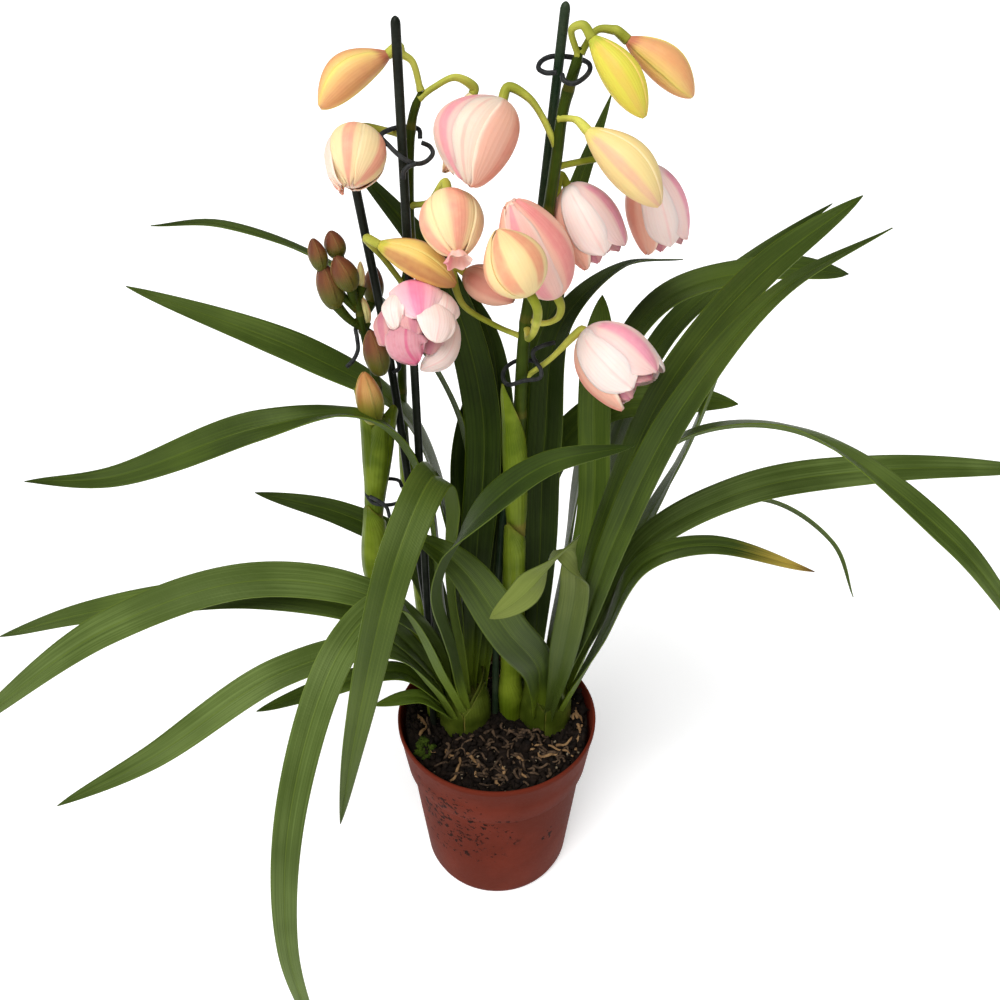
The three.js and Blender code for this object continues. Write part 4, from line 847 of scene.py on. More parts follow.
def stray_roots(count, draw, keep_out):
    """Short roots over the front of the compost, each a walk of even steps whose bearing drifts."""
    starts = np.column_stack([draw.uniform(-46, 46, 6 * count), draw.uniform(-50, -6, 6 * count)])
    turns = draw.uniform(0, 2 * np.pi, (6 * count, 1))
    turns = turns + np.cumsum(draw.normal(0, 0.8, (6 * count, 6)), axis=1)
    steps = 4.6 * np.stack([np.cos(turns), 0.6 * np.sin(turns)], axis=-1)
    walks = starts[:, None, :] + np.cumsum(steps, axis=1)
    inside = np.all(np.linalg.norm(walks, axis=2) < 51, axis=1)
    clear = np.all([np.all(np.linalg.norm(walks - trunk, axis=2) > radius + 1, axis=1)
                    for trunk, radius in keep_out], axis=0)
    return walks[inside & clear][:count]


def root_patch(places, radius, draw, lift=1.2, slot=3):
    """A root over the compost: a tube through places at the mound's height, wriggling and thinning."""
    places = np.asarray(places, float)
    z = SOIL_LEVEL + mound(places[:, 0], places[:, 1])
    z = z + np.where(np.arange(len(places)) % 3 == 0, -0.8, lift)
    share = np.linspace(0, 1, 40)
    path = spline(np.column_stack([places, z]), share)
    path = path + 0.5 * np.sin(share[:, None] * draw.uniform(12, 22, 3) + draw.uniform(0, 6, 3))
    radii = radius * (1 - 0.35 * share) * (1 + 0.13 * np.sin(share * draw.uniform(25, 45)))
    return patch(tube_grid(path, radii, 10), slot=slot)


# ------------------------------------------------------------------ shader helpers


def shade(red, green, blue):
    """A colour as a screen shows it, from 0 to 255, as the linear light that shaders take."""
    screen = np.array([red, green, blue]) / 255
    linear = np.where(screen <= 0.04045, screen / 12.92, ((screen + 0.055) / 1.055) ** 2.4)
    return tuple(float(part) for part in linear)


def opaque(colour):
    """A colour with full alpha."""
    return (*colour[:3], 1.0)


class Value:
    """What a shader socket gives, to be added and multiplied as a number is."""

    def __init__(self, socket):
        self.socket = socket

    def __add__(self, other):
        return calc("ADD", self, other)

    def __radd__(self, other):
        return calc("ADD", other, self)

    def __sub__(self, other):
        return calc("SUBTRACT", self, other)

    def __rsub__(self, other):
        return calc("SUBTRACT", other, self)

    def __mul__(self, other):
        return calc("MULTIPLY", self, other)

    def __truediv__(self, other):
        return calc("DIVIDE", self, other)

    def __abs__(self):
        return calc("ABSOLUTE", self)


def node(tree, kind, inputs=(), **settings):
    """A shader node with its settings made and its inputs linked or set."""
    made = tree.nodes.new(kind)
    for key, value in settings.items():
        setattr(made, key, value)
    for key, value in dict(inputs).items():
        if isinstance(value, Value):
            tree.links.new(value.socket, made.inputs[key])
        else:
            made.inputs[key].default_value = value
    return made


def derived(kind, inputs, output=0, **settings):
    """What a new node gives, in the tree of the values that it takes."""
    tree = next(value.socket.id_data for value in inputs.values() if isinstance(value, Value))
    return Value(node(tree, kind, inputs, **settings).outputs[output])


def calc(operation, *values):
    """The result of a sum on numbers and values."""
    return derived("ShaderNodeMath", dict(enumerate(values)), operation=operation)


def ease(value, low, high):
    """0 below low and 1 above high, smooth between them."""
    return derived("ShaderNodeMapRange", {"Value": value, "From Min": low, "From Max": high}, "Result",
                   interpolation_type="SMOOTHSTEP")


def tint(amount, under, over):
    """One colour laid over another by an amount."""
    return derived("ShaderNodeMix", {0: amount, 6: under, 7: over}, 2, data_type="RGBA")


def cloud(place, scale, detail=3.0, rough=0.5):
    """Soft noise from 0 to 1."""
    return derived("ShaderNodeTexNoise",
                   {"Vector": place, "Scale": scale, "Detail": detail, "Roughness": rough})


def vector(operation, place, other, output=0):
    """The result of a sum on places."""
    return derived("ShaderNodeVectorMath", {0: place, 1: other}, output, operation=operation)


def effect(name, inputs):
    """A new node group, and its named inputs as values."""
    group = bpy.data.node_groups.new(name, "ShaderNodeTree")
    for label, default in inputs.items():
        number = isinstance(default, float)
        kind = "NodeSocketFloat" if number else "NodeSocketColor"
        socket = group.interface.new_socket(name=label, in_out="INPUT", socket_type=kind)
        socket.default_value = default if number else opaque(default)
    return group, {socket.name: Value(socket) for socket in group.nodes.new("NodeGroupInput").outputs}


def finished(group, colour, roughness, height):
    """A node group with its three results linked to its outputs."""
    results = {"Colour": colour, "Roughness": roughness, "Height": height}
    for label in results:
        kind = "NodeSocketColor" if label == "Colour" else "NodeSocketFloat"
        group.interface.new_socket(name=label, in_out="OUTPUT", socket_type=kind)
    node(group, "NodeGroupOutput", results)
    return group


def blade_place(group):
    """Where a point lies on a leaf, petal or sheath: how far out from its middle, how far along, whether on
    its inner face, a place stretched along it that differs from piece to piece, and its place in space."""
    coordinates = node(group, "ShaderNodeTexCoord").outputs
    sheet, place = Value(coordinates["UV"]), Value(coordinates["Object"])
    split = node(group, "ShaderNodeSeparateXYZ", {0: sheet}).outputs
    round_it, along = Value(split[0]), Value(split[1])
    across = abs(calc("FRACT", round_it) * 2.0 - 1.0)
    under = calc("GREATER_THAN", round_it, 1.0)
    shift = vector("MULTIPLY", place, (9, 9, 9))
    streaks = vector("ADD", vector("MULTIPLY", sheet, (22, 4, 1)), shift)
    return across, along, under, streaks, place


def strap_leaf(name):
    """Streaked green with parallel ribs, a pale midrib line and rim, a yellow foot and a dying tip."""
    group, given = effect(name, {"Deep": (0, 0, 0), "Pale": (1, 1, 1), "Foot": (1, 1, 1), "Scorch": (0, 0, 0),
                                 "Green length": 1.3, "Ribs": 1.0, "Foot length": 0.2})
    across, along, under, streaks, place = blade_place(group)
    streak, patchy = cloud(streaks, 1.0, 4.0), cloud(place, 22.0, 2.0)
    colour = tint(ease(streak * 0.55 + patchy * 0.6, 0.42, 0.82), given["Deep"], given["Pale"])
    colour = tint(under * 0.4, colour, given["Pale"])
    rib = calc("SINE", across * 96.0)
    colour = tint(ease(rib, 0.1, 1.0) * (given["Ribs"] * 0.1), colour, given["Pale"])
    midrib = 1.0 - ease(across, 0.01, 0.04)
    colour = tint(midrib * 0.35, colour, given["Foot"])
    rim = ease(across, 0.945, 0.99)
    colour = tint(rim * 0.5, colour, given["Foot"])
    ragged = along + (streak - 0.5) * 0.16
    foot = 1.0 - ease(ragged, given["Foot length"] * 0.25, given["Foot length"])
    colour = tint(foot * 0.8, colour, given["Foot"])
    dying = given["Green length"]
    yellow = ease(ragged, dying - 0.16, dying + 0.02)
    colour = tint(yellow, colour, opaque(shade(176, 150, 62)))
    brown = ease(ragged, dying - 0.02, dying + 0.05)
    colour = tint(brown, colour, given["Scorch"])
    rough = 0.26 + streak * 0.16 + under * 0.3 + brown * 0.3
    grit = cloud(place, 900.0, 2.0) * 0.25
    return finished(group, colour, rough, rib * 0.35 + grit)


def petal(name):
    """A pale petal with a coloured band along its middle, fanning veins, a rim, a tip tinted with the band's
    colour (a blush, and on the gold bud painted shade) and spots.
    """
    group, given = effect(name, {"Pale": (1, 1, 1), "Band": (1, 0, 0), "Edge": (1, 1, 0), "Inside": (1, 1, 1),
                                 "Band width": 0.5, "Band place": 0.0, "Veins": 0.4, "Tip": 0.5, "Spots": 0.0,
                                 "Foot": (1, 1, 1), "Foot length": 0.16, "Edge start": 0.82})
    across, along, under, streaks, place = blade_place(group)
    wobble, mottle = cloud(streaks, 0.45, 3.0), cloud(place, 260.0, 3.0)
    drift = (wobble - 0.5) * 0.22
    from_band = abs(across + drift - given["Band place"])
    band = 1.0 - ease(from_band, given["Band width"] * 0.5, given["Band width"] * 1.3)
    colour = tint(band * (0.55 + mottle * 0.6), given["Pale"], given["Band"])
    line = calc("SINE", across * 46.0 + wobble * 9.0)
    vein = ease(line, 0.35, 1.0) * (given["Veins"] * mottle)
    colour = tint(vein, colour, given["Band"])
    edge = ease(across + drift, given["Edge start"], 0.99)
    colour = tint(edge * 0.85, colour, given["Edge"])
    tip = ease(along + drift, 0.7, 1.0) * given["Tip"]
    colour = tint(tip, colour, given["Band"])
    foot = 1.0 - ease(along + drift * 0.6, given["Foot length"] * 0.35, given["Foot length"])
    colour = tint(foot * 0.9, colour, given["Foot"])
    colour = tint(under * 0.6, colour, given["Inside"])
    cells = derived("ShaderNodeTexVoronoi", {"Vector": place, "Scale": 420.0}, "Distance")
    dots = (1.0 - ease(cells, 0.22, 0.42)) * given["Spots"]
    colour = tint(dots, colour, opaque(shade(150, 26, 62)))
    return finished(group, colour, 0.36 + mottle * 0.2, line * 0.3 + mottle * 0.6)


def green_rod(name):
    """A mottled stem with darker streaks and a scar ring at each node."""
    group, given = effect(name, {"Colour": (0, 1, 0), "Pale": (1, 1, 0), "Ring": (0.5, 0.3, 0.1),
                                 "Blush": 0.0, "Rings": 0.45})
    _, along, _, streaks, place = blade_place(group)
    streak, patchy = cloud(streaks, 1.6, 4.0), cloud(place, 45.0, 3.0)
    colour = tint(ease(patchy, 0.3, 0.75), given["Colour"], given["Pale"])
    colour = tint(ease(streak, 0.5, 0.85) * 0.4, colour, given["Ring"])
    turn = calc("FRACT", along / 0.12)
    ring = 1.0 - ease(abs(turn - 0.03), 0.01, 0.07)
    colour = tint(ring * given["Rings"], colour, given["Ring"])
    base = 1.0 - ease(along, 0.02, 0.14)
    colour = tint(base * given["Blush"], colour, given["Ring"])
    speck = cloud(place, 700.0, 2.0)
    return finished(group, colour, 0.33 + streak * 0.2, streak * 0.6 + speck * 0.4)


def husk(name):
    """A ribbed sheath whose rims, top and odd patches have dried."""
    group, given = effect(name, {"Colour": (0, 1, 0), "Pale": (1, 1, 0), "Dry": (0.5, 0.3, 0.1),
                                 "Dry edge": 0.3, "Ribs": 1.0, "Dry foot": 0.0})
    across, along, _, streaks, place = blade_place(group)
    streak, patchy = cloud(streaks, 1.2, 4.0), cloud(place, 60.0, 3.0)
    colour = tint(ease(patchy, 0.35, 0.7), given["Colour"], given["Pale"])
    rib = calc("SINE", across * 58.0)
    colour = tint(ease(rib, 0.0, 1.0) * (given["Ribs"] * 0.3), colour, given["Pale"])
    start = 1.0 - given["Dry edge"] * 0.5
    rims = ease(across + (streak - 0.5) * 0.5, start, start + 0.14)
    top = ease(along + streak * 0.1, start + 0.04, start + 0.2)
    foot = (1.0 - ease(along, 0.09, 0.13)) * given["Dry foot"]
    patches = ease(cloud(place, 130.0, 4.0, 0.6), 0.66, 0.74) * given["Dry edge"]
    dry = rims
    for part in (top, foot, patches):
        dry = calc("MAXIMUM", dry, part)
    relief = rib * given["Ribs"] * 0.5 + streak * 0.5
    return finished(group, tint(dry, colour, given["Dry"]), 0.38 + dry * 0.3, relief)


def moulded_clay(name):
    """Terracotta with soft patches, fine grain, a paler rim and dark soil flecks on its front left."""
    group, given = effect(name, {"Colour": (0.5, 0.5, 0.5), "Other": (1, 1, 1), "Soil": (0, 0, 0)})
    place = Value(node(group, "ShaderNodeTexCoord").outputs["Object"])
    patchy, fine = cloud(place, 22.0, 4.0, 0.6), cloud(place, 620.0, 3.0, 0.6)
    colour = tint(ease(patchy, 0.4, 0.7), given["Colour"], given["Other"])
    height = derived("ShaderNodeSeparateXYZ", {0: place}, 2)
    colour = tint(ease(height, *RIM_EDGE) * 0.5, colour, given["Other"])
    near = 0.0
    for spot, reach in SOIL_SPOTS:
        away = vector("DISTANCE", place, spot, "Value")
        near = calc("MAXIMUM", near, 1.0 - ease(away, 0.1 * reach, reach))
    clump = (cloud(place, 75.0, 2.0) - 0.5) * 0.34
    mark = cloud(place, 300.0, 4.0, 0.65) + clump + near * 0.08
    fleck = ease(mark, 0.635, 0.67) * ease(near, 0.02, 0.2)
    return finished(group, tint(fleck, colour, given["Soil"]), 0.5 + fine * 0.2, fine + fleck)


def grain(name):
    """Two colours mixed by patches and by fine grain, which also stand in relief."""
    group, given = effect(name, {"Colour": (0.5, 0.5, 0.5), "Other": (1, 1, 1), "Patch size": 30.0,
                                 "Grain size": 600.0, "Roughness": 0.5, "Roughness spread": 0.2})
    place = Value(node(group, "ShaderNodeTexCoord").outputs["Object"])
    patchy = cloud(place, given["Patch size"], 4.0, 0.6)
    fine = cloud(place, given["Grain size"], 3.0, 0.6)
    both = patchy * 0.7 + fine * 0.3
    colour = tint(ease(both, 0.35, 0.68), given["Colour"], given["Other"])
    return finished(group, colour, given["Roughness"] + (patchy - 0.5) * given["Roughness spread"], both)


# ------------------------------------------------------------------ materials

BUMP_STRENGTH = 0.6
LEAF_TINT = (0.72, 0.88, 0.4, 1)
LEAF_GLOSS = {"Specular IOR Level": 0.34, "Specular Tint": LEAF_TINT}
STEM_GLOSS = {"Specular IOR Level": 0.16, "Specular Tint": LEAF_TINT}
PETAL_GLOW = {"Specular IOR Level": 0.2, "Subsurface Weight": 0.25, "Subsurface Scale": 1.6 * MM,
              "Subsurface Radius": (1.0, 0.5, 0.35)}
DULL = {"Specular IOR Level": 0.1}
MATT = {"Specular IOR Level": 0.03, "Specular Tint": (0.8, 0.3, 0.2, 1)}
LIT = {"Specular IOR Level": 0.1, "Emission Color": (1, 1, 1, 1), "Emission Strength": 0.35}

# The clay's paler rim lies between these heights, and its soil flecks within these spheres, in metres.
RIM_EDGE = (0.1175, 0.1195)
SOIL_SPOTS = [((-0.026, -0.046, 0.072), 0.05), ((0.031, -0.039, 0.052), 0.011)]


def look_of(name, build, values, depth, numbers):
    """A material whose colour, roughness and bump come from one effect, whose group is made once, and whose
    other numbers are set on its shader. depth is the bump's height in millimetres."""
    made = bpy.data.materials.new(name)
    made.use_nodes = True
    tree = made.node_tree
    shader = tree.nodes["Principled BSDF"]
    title = build.__name__.replace("_", " ").capitalize()
    values = {label: value if isinstance(value, float) else opaque(value) for label, value in values.items()}
    group = node(tree, "ShaderNodeGroup", values, node_tree=bpy.data.node_groups.get(title) or build(title))
    raised = node(tree, "ShaderNodeBump", {"Height": Value(group.outputs["Height"]), "Distance": depth * MM,
                                           "Strength": BUMP_STRENGTH})
    tree.links.new(group.outputs["Colour"], shader.inputs["Base Color"])
    tree.links.new(group.outputs["Roughness"], shader.inputs["Roughness"])
    tree.links.new(raised.outputs["Normal"], shader.inputs["Normal"])
    for label, value in numbers.items():
        shader.inputs[label].default_value = value
    return made


def recipes():
    """What each material is made of, from the sizes and colours in the sidebar."""
    scene = bpy.context.scene
    leaves, flowers, stems = scene.orchid_leaves, scene.orchid_flowers, scene.orchid_stems
    pot, floor = scene.orchid_pot, scene.orchid_studio.floor

    def leafy(deep, pale, foot=leaves.foot, ribs=1.0, foot_length=0.2, green_length=1.3):
        return strap_leaf, {"Deep": deep, "Pale": pale, "Foot": foot, "Scorch": leaves.scorch, "Ribs": ribs,
                            "Foot length": foot_length, "Green length": green_length}, 0.25, LEAF_GLOSS

    def petals(pale, band, width=0.5, veins=0.08, tip=0.3, edge=None, spots=0.0, place=0.0, foot=None,
               foot_length=0.16, rim=0.82):
        return petal, {"Pale": pale, "Band": band, "Edge": edge or pale, "Inside": pale, "Band width": width,
                       "Band place": place, "Veins": veins, "Tip": tip, "Spots": spots, "Foot": foot or pale,
                       "Foot length": foot_length, "Edge start": rim}, 0.12, PETAL_GLOW

    def grainy(colour, other, patch_size, fine, rough, spread, depth, numbers=DULL):
        return grain, {"Colour": colour, "Other": other, "Patch size": patch_size, "Grain size": fine,
                       "Roughness": rough, "Roughness spread": spread}, depth, numbers

    def dried(colour, pale, dry, dry_edge, ribs, depth, dry_foot=0.0):
        return husk, {"Colour": colour, "Pale": pale, "Dry": dry, "Dry edge": dry_edge, "Ribs": ribs,
                      "Dry foot": dry_foot}, depth, STEM_GLOSS

    def rod(colour, pale, blush, rings, depth):
        return green_rod, {"Colour": colour, "Pale": pale, "Ring": stems.ring, "Blush": blush,
                           "Rings": rings}, depth, STEM_GLOSS

    return {
        "leaf_green": leafy(leaves.deep, leaves.pale),
        # Painted shade: a darker copy of the leaf green for the upright leaves in the middle of the clump.
        "leaf_painted_shade": leafy(shade(22, 35, 6), shade(50, 68, 14)),
        "leaf_young": leafy(shade(54, 74, 16), shade(92, 112, 34)),
        "leaf_sage": leafy(leaves.sage, shade(78, 94, 36), ribs=2.2),
        "leaf_burnt": leafy(leaves.deep, leaves.pale, green_length=0.95),
        # Painted light and sheen: lighter copies of the leaf green for the outer leaves that face up.
        "leaf_painted_soft_light": leafy(shade(54, 70, 22), shade(86, 104, 42)),
        "leaf_painted_light": leafy(shade(58, 74, 24), shade(98, 116, 58)),
        "leaf_pale": leafy(shade(84, 98, 36), shade(122, 132, 66), shade(40, 56, 14), 0.8, foot_length=0.9),
        "sepal_salmon": petals(flowers.cream, flowers.salmon, 0.3),
        "sepal_rose": petals(shade(248, 218, 196), shade(236, 168, 158), 0.45),
        "sepal_striped": petals(flowers.cream, flowers.salmon, 0.42),
        "sepal_golden": petals(shade(236, 204, 148), shade(226, 150, 118), 0.2, tip=0.1, place=0.5),
        "sepal_hot": petals(shade(236, 178, 158), shade(226, 136, 134), 0.34, edge=shade(236, 188, 166)),
        # Painted shade: a darker copy of the salmon sepals for the bloom behind the others.
        "sepal_painted_shade": petals(shade(222, 168, 144), shade(206, 136, 118), 0.4),
        "sepal_blush": petals(shade(238, 212, 196), flowers.rose, 0.4, tip=0.05),
        "petal_pale": petals(shade(236, 208, 188), shade(234, 184, 168), 0.08, 0.25, 0.0,
                             shade(244, 220, 206)),
        "petal_white": petals(shade(238, 214, 206), shade(236, 194, 188), 0.06, 0.4, 0.0,
                              shade(246, 228, 220)),
        "petal_cream": petals(shade(236, 210, 164), shade(230, 180, 150), 0.1, 0.3, 0.2),
        "petal_rose": petals(shade(242, 202, 194), shade(236, 148, 170), 0.3, tip=0.1,
                             edge=shade(246, 216, 204), rim=0.88),
        "petal_band": petals(shade(236, 186, 174), shade(230, 146, 154), 0.3, tip=0.05,
                             edge=shade(242, 208, 192), rim=0.7),
        "petal_hot": petals(shade(234, 168, 184), shade(224, 124, 158), 0.3, tip=0.0,
                            edge=shade(240, 206, 202), rim=0.3),
        "petal_peach": petals(shade(234, 176, 154), shade(226, 148, 128), 0.3, 0.4, 0.1,
                              shade(246, 222, 200)),
        "petal_mauve": petals(shade(204, 150, 148), shade(188, 116, 130), 0.3, 0.3, 0.2,
                              shade(230, 190, 182)),
        "lip": petals(shade(200, 142, 150), shade(196, 88, 122), 0.1, 0.3, 0.8, shade(222, 180, 176), 0.1),
        "bud_lime": petals(flowers.lime, shade(214, 184, 84), 0.25, tip=0.5, edge=shade(232, 190, 110),
                           foot=shade(176, 180, 60)),
        "bud_cream": petals(shade(232, 204, 140), shade(224, 174, 142), 0.22, tip=0.4,
                            edge=shade(240, 214, 164), foot=shade(226, 206, 120)),
        "bud_dusky": petals(shade(230, 186, 116), shade(218, 154, 104), edge=shade(240, 214, 112), rim=0.6,
                            foot=shade(190, 112, 84)),
        # The brown band colour laid strongly over this bud's tip is painted shade at its far end.
        "bud_gold": petals(shade(222, 188, 104), shade(180, 124, 78), 0.4, tip=0.9,
                           edge=shade(232, 206, 122), foot=shade(190, 182, 64)),
        "bud_brown": petals(shade(118, 74, 42), shade(98, 52, 32), 0.5, 0.3, 0.4, shade(160, 126, 78),
                            foot=shade(84, 88, 24), foot_length=0.75),
        "bud_pale": petals(shade(222, 208, 140), shade(220, 170, 120), 0.3, tip=0.5,
                           foot=shade(190, 190, 90)),
        "bud_tan": petals(shade(196, 150, 88), shade(170, 110, 62), 0.3, 0.5, 0.6, shade(214, 190, 110),
                          foot=shade(132, 138, 40), foot_length=0.75),
        "stem_green": rod(stems.green, stems.pale, 0.6, 0.45, 0.15),
        "stalk_green": rod(shade(112, 120, 26), shade(202, 200, 92), 0.0, 0.0, 0.12),
        "sheath_green": dried(stems.sheath, shade(112, 128, 34), shade(140, 124, 60), 0.08, 0.5, 0.3, 0.7),
        "bulb_skin": dried(shade(50, 60, 14), shade(76, 86, 26), shade(78, 70, 30), 0.1, 0.15, 0.4),
        "bulb_husk": dried(shade(52, 64, 13), shade(82, 94, 28), shade(112, 100, 46), 0.08, 0.15, 0.5),
        "stake_black": grainy(stems.stake, shade(36, 40, 32), 60.0, 900.0, 0.36, 0.2, 0.1),
        "stake_green": grainy(shade(24, 42, 24), shade(52, 62, 44), 60.0, 900.0, 0.4, 0.2, 0.1),
        "wire": grainy(shade(26, 27, 28), shade(58, 60, 60), 260.0, 2400.0, 0.42, 0.25, 0.1),
        "compost": grainy(pot.compost, shade(32, 24, 18), 120.0, 700.0, 0.85, 0.1, 2.0),
        "bark": grainy(pot.compost, pot.bark, 150.0, 900.0, 0.8, 0.15, 1.0),
        "grit": grainy(shade(140, 126, 104), shade(94, 80, 62), 220.0, 900.0, 0.8, 0.1, 0.4),
        "root": grainy(pot.root, shade(150, 118, 82), 140.0, 800.0, 0.75, 0.1, 0.6),
        "root_dark": grainy(shade(40, 31, 25), shade(98, 78, 60), 220.0, 800.0, 0.75, 0.1, 0.6),
        "moss": grainy(shade(34, 48, 10), shade(66, 82, 22), 300.0, 1500.0, 0.9, 0.1, 0.5),
        "clay": (moulded_clay, {"Colour": pot.clay, "Other": shade(100, 40, 27), "Soil": shade(34, 12, 6)},
                 0.12, MATT),
        "floor": grainy(floor, floor, 4.0, 300.0, 0.8, 0.05, 0.1, LIT),
    }


def material(look):
    """The material of a name, made the first time that it's asked for."""
    name = f"orchid_{look}"
    return bpy.data.materials.get(name) or look_of(name, *recipes()[look])


# ------------------------------------------------------------------ sizes and colours in the sidebar


def colour_of(name, description, default):
    """A colour property."""
    return FloatVectorProperty(name=name, description=description, subtype="COLOR", size=3, min=0, max=1,
                               default=default)


def length_of(name, description, default, low, high):
    """A length property, given in millimetres."""
    return FloatProperty(name=name, description=description, default=default * MM, min=low * MM,
                         max=high * MM, subtype="DISTANCE", unit="LENGTH", precision=4)


def angle_of(name, description, default, high):
    """An angle property, given in degrees."""
    return FloatProperty(name=name, description=description, default=math.radians(default), min=0,
                         max=math.radians(high), subtype="ANGLE", unit="ROTATION")


class OrchidLeaves(bpy.types.PropertyGroup):
    """The leaves' shape and colours."""
    rows: IntProperty(name="Rows", description="Grid rows along a leaf", default=90, min=20, max=300)
    columns: IntProperty(name="Columns", description="Grid columns across a leaf", default=17, min=7, max=41)
    fold: angle_of("Fold", "How far each half of an open leaf stands up from flat", 16, 60)
    wave: FloatProperty(name="Wave", description="How far the margins wave, over half the width",
                        default=0.045, min=0, max=0.3, subtype="FACTOR")
    thickness: length_of("Thickness", "Thickness beside the midrib", 1.1, 0.3, 3)
    deep: colour_of("Deep green", "Main colour of a leaf", shade(38, 52, 12))
    pale: colour_of("Pale green", "Streaks and underside of a leaf", shade(70, 88, 26))
    sage: colour_of("Sage", "Main colour of the folded leaf", shade(52, 68, 20))
    foot: colour_of("Leaf foot", "Midrib, rim and foot of a leaf", shade(96, 114, 26))
    scorch: colour_of("Scorch", "Dead leaf tips", shade(96, 62, 34))


class OrchidFlowers(bpy.types.PropertyGroup):
    """The blooms' colours."""
    cream: colour_of("Cream", "Petal edges", shade(240, 212, 162))
    salmon: colour_of("Salmon", "Band along a closed sepal", shade(232, 156, 134))
    rose: colour_of("Rose", "Band along an open petal", shade(226, 120, 130))
    lime: colour_of("Lime", "Young buds", shade(214, 202, 76))


class OrchidStems(bpy.types.PropertyGroup):
    """The flower stems, stakes and wire."""
    wire: length_of("Wire radius", "Radius of a clip's wire", 1.0, 0.3, 2)
    stake_radius: length_of("Stake radius", "Radius of a stake", 2, 1, 5)
    green: colour_of("Stem", "Main colour of a stem", shade(30, 42, 7))
    pale: colour_of("Pale stem", "Patches of a stem", shade(56, 72, 12))
    ring: colour_of("Scars", "Rings at the nodes", shade(92, 84, 30))
    sheath: colour_of("Sheath", "Bracts on the stems", shade(78, 96, 14))
    stake: colour_of("Stake", "Black stakes", shade(18, 22, 16))


class OrchidPot(bpy.types.PropertyGroup):
    """The pot and what fills it."""
    chips: IntProperty(name="Bark chips", description="How many chips lie on the compost", default=900,
                       min=50, max=4000)
    clay: colour_of("Pot", "Moulded terracotta colour", shade(88, 34, 22))
    compost: colour_of("Compost", "Dark compost", shade(14, 10, 8))
    bark: colour_of("Bark", "Bark chips", shade(34, 25, 19))
    root: colour_of("Roots", "Roots on the compost", shade(106, 80, 54))


class OrchidStudio(bpy.types.PropertyGroup):
    """The floor, light and lens."""
    floor: colour_of("Floor", "Colour of the floor", (0.93, 0.93, 0.93))
    sky: FloatProperty(name="Sky", description="Strength of the even light from all round", default=0.24,
                       min=0, max=5)
    key: FloatProperty(name="Key", description="Strength of the broad light from above", default=3.1, min=0,
                       max=50)
    softness: angle_of("Softness", "How wide the broad light is", 42, 120)
    lens: FloatProperty(name="Lens", description="Focal length in millimetres on a 36 mm sensor",
                        default=36.0, min=10, max=200)


# ------------------------------------------------------------------ operators

# A petal's material number counts the bloom's own look, its pale one and then these.
PETAL_LOOKS = ["lip", "petal_rose", "petal_peach", "petal_mauve", "petal_cream", "petal_band"]
# The record's material slots of the buds and blooms that aren't bloom_pink.
YELLOW_BLOOMS = [name for name in BLOOMS if name.startswith("bud_")] + ["bloom_centre_front"]
BLUSH_BLOOMS = ["bloom_left", "bloom_lower_left", "bloom_right", "bloom_lower_right"]
BLOOM_SLOTS = {**dict.fromkeys(YELLOW_BLOOMS, "bud_yellow"), **dict.fromkeys(BLUSH_BLOOMS, "bloom_blush")}


class ORCHID_OT_leaves(bpy.types.Operator):
    """Builds every strap leaf"""
    bl_idname = "orchid.leaves"
    bl_label = "Leaves"

    def execute(self, context):
        for number, (name, leaf) in enumerate(LEAVES.items()):
            look = leaf.get("look", "leaf_green")
            slot = "leaf_sage" if look == "leaf_sage" else "leaf_green"
            make_piece(f"blade_{name}", [blade(leaf, context.scene.orchid_leaves, number)], [look],
                       [f"leaf_{name}"])
        return {"FINISHED"}


class ORCHID_OT_blooms(bpy.types.Operator):
    """Builds the buds, the closed blooms, the half-open blooms and the open one"""
    bl_idname = "orchid.blooms"
    bl_label = "Blooms and buds"

    def execute(self, context):
        makers = {"bud": closed_flower, "closed": closed_flower, "tulip": tulip_flower, "open": open_flower}
        for name, bloom in BLOOMS.items():
            pale = "petal_white" if bloom["kind"] in ("tulip", "open") else "petal_pale"
            looks = [bloom["look"], pale, *PETAL_LOOKS]
            make_piece(f"flower_{name}", makers[bloom["kind"]](bloom), looks, [name])
        return {"FINISHED"}


class ORCHID_OT_stems(bpy.types.Operator):
    """Builds the flower stems with their stalks, sheaths and young buds"""
    bl_idname = "orchid.stems"
    bl_label = "Flower stems"

    def execute(self, context):
        for name, stem in STEMS.items():
            parts = [stem_tube(stem)]
            parts += [stalk_patch(bloom) for bloom in BLOOMS.values() if bloom["stem"] == name]
            parts += [sheath_patch(stem, sheath) for sheath in stem["sheaths"]]
            if name == "stem_left":
                parts += [part for bud in YOUNG_BUDS for part in young_bud(bud)]
            make_piece(f"flower_{name}", parts, STEM_LOOKS, [name])
        return {"FINISHED"}


class ORCHID_OT_supports(bpy.types.Operator):
    """Builds the three stakes and the wire clips"""
    bl_idname = "orchid.supports"
    bl_label = "Stakes and clips"

    def execute(self, context):
        sizes = context.scene.orchid_stems
        share = np.concatenate([np.linspace(0, 0.992, 60), np.linspace(0.993, 1, 8)])
        rounding = np.sqrt(np.clip(1 - (np.maximum(0, share - 0.994) / 0.0062) ** 2, 0.02, 1))
        for name, stake in STAKES.items():
            body = patch(tube_grid(spline(stake["route"], share), sizes.stake_radius / MM * rounding, 24))
            make_piece(f"support_{name}", [body], [stake["look"]], [name])
        for name, runs in CLIPS.items():
            wires = [tube(run, sizes.wire / MM, rows=90) for run in runs]
            make_piece(f"wire_{name}", wires, ["wire"], [name])
        return {"FINISHED"}


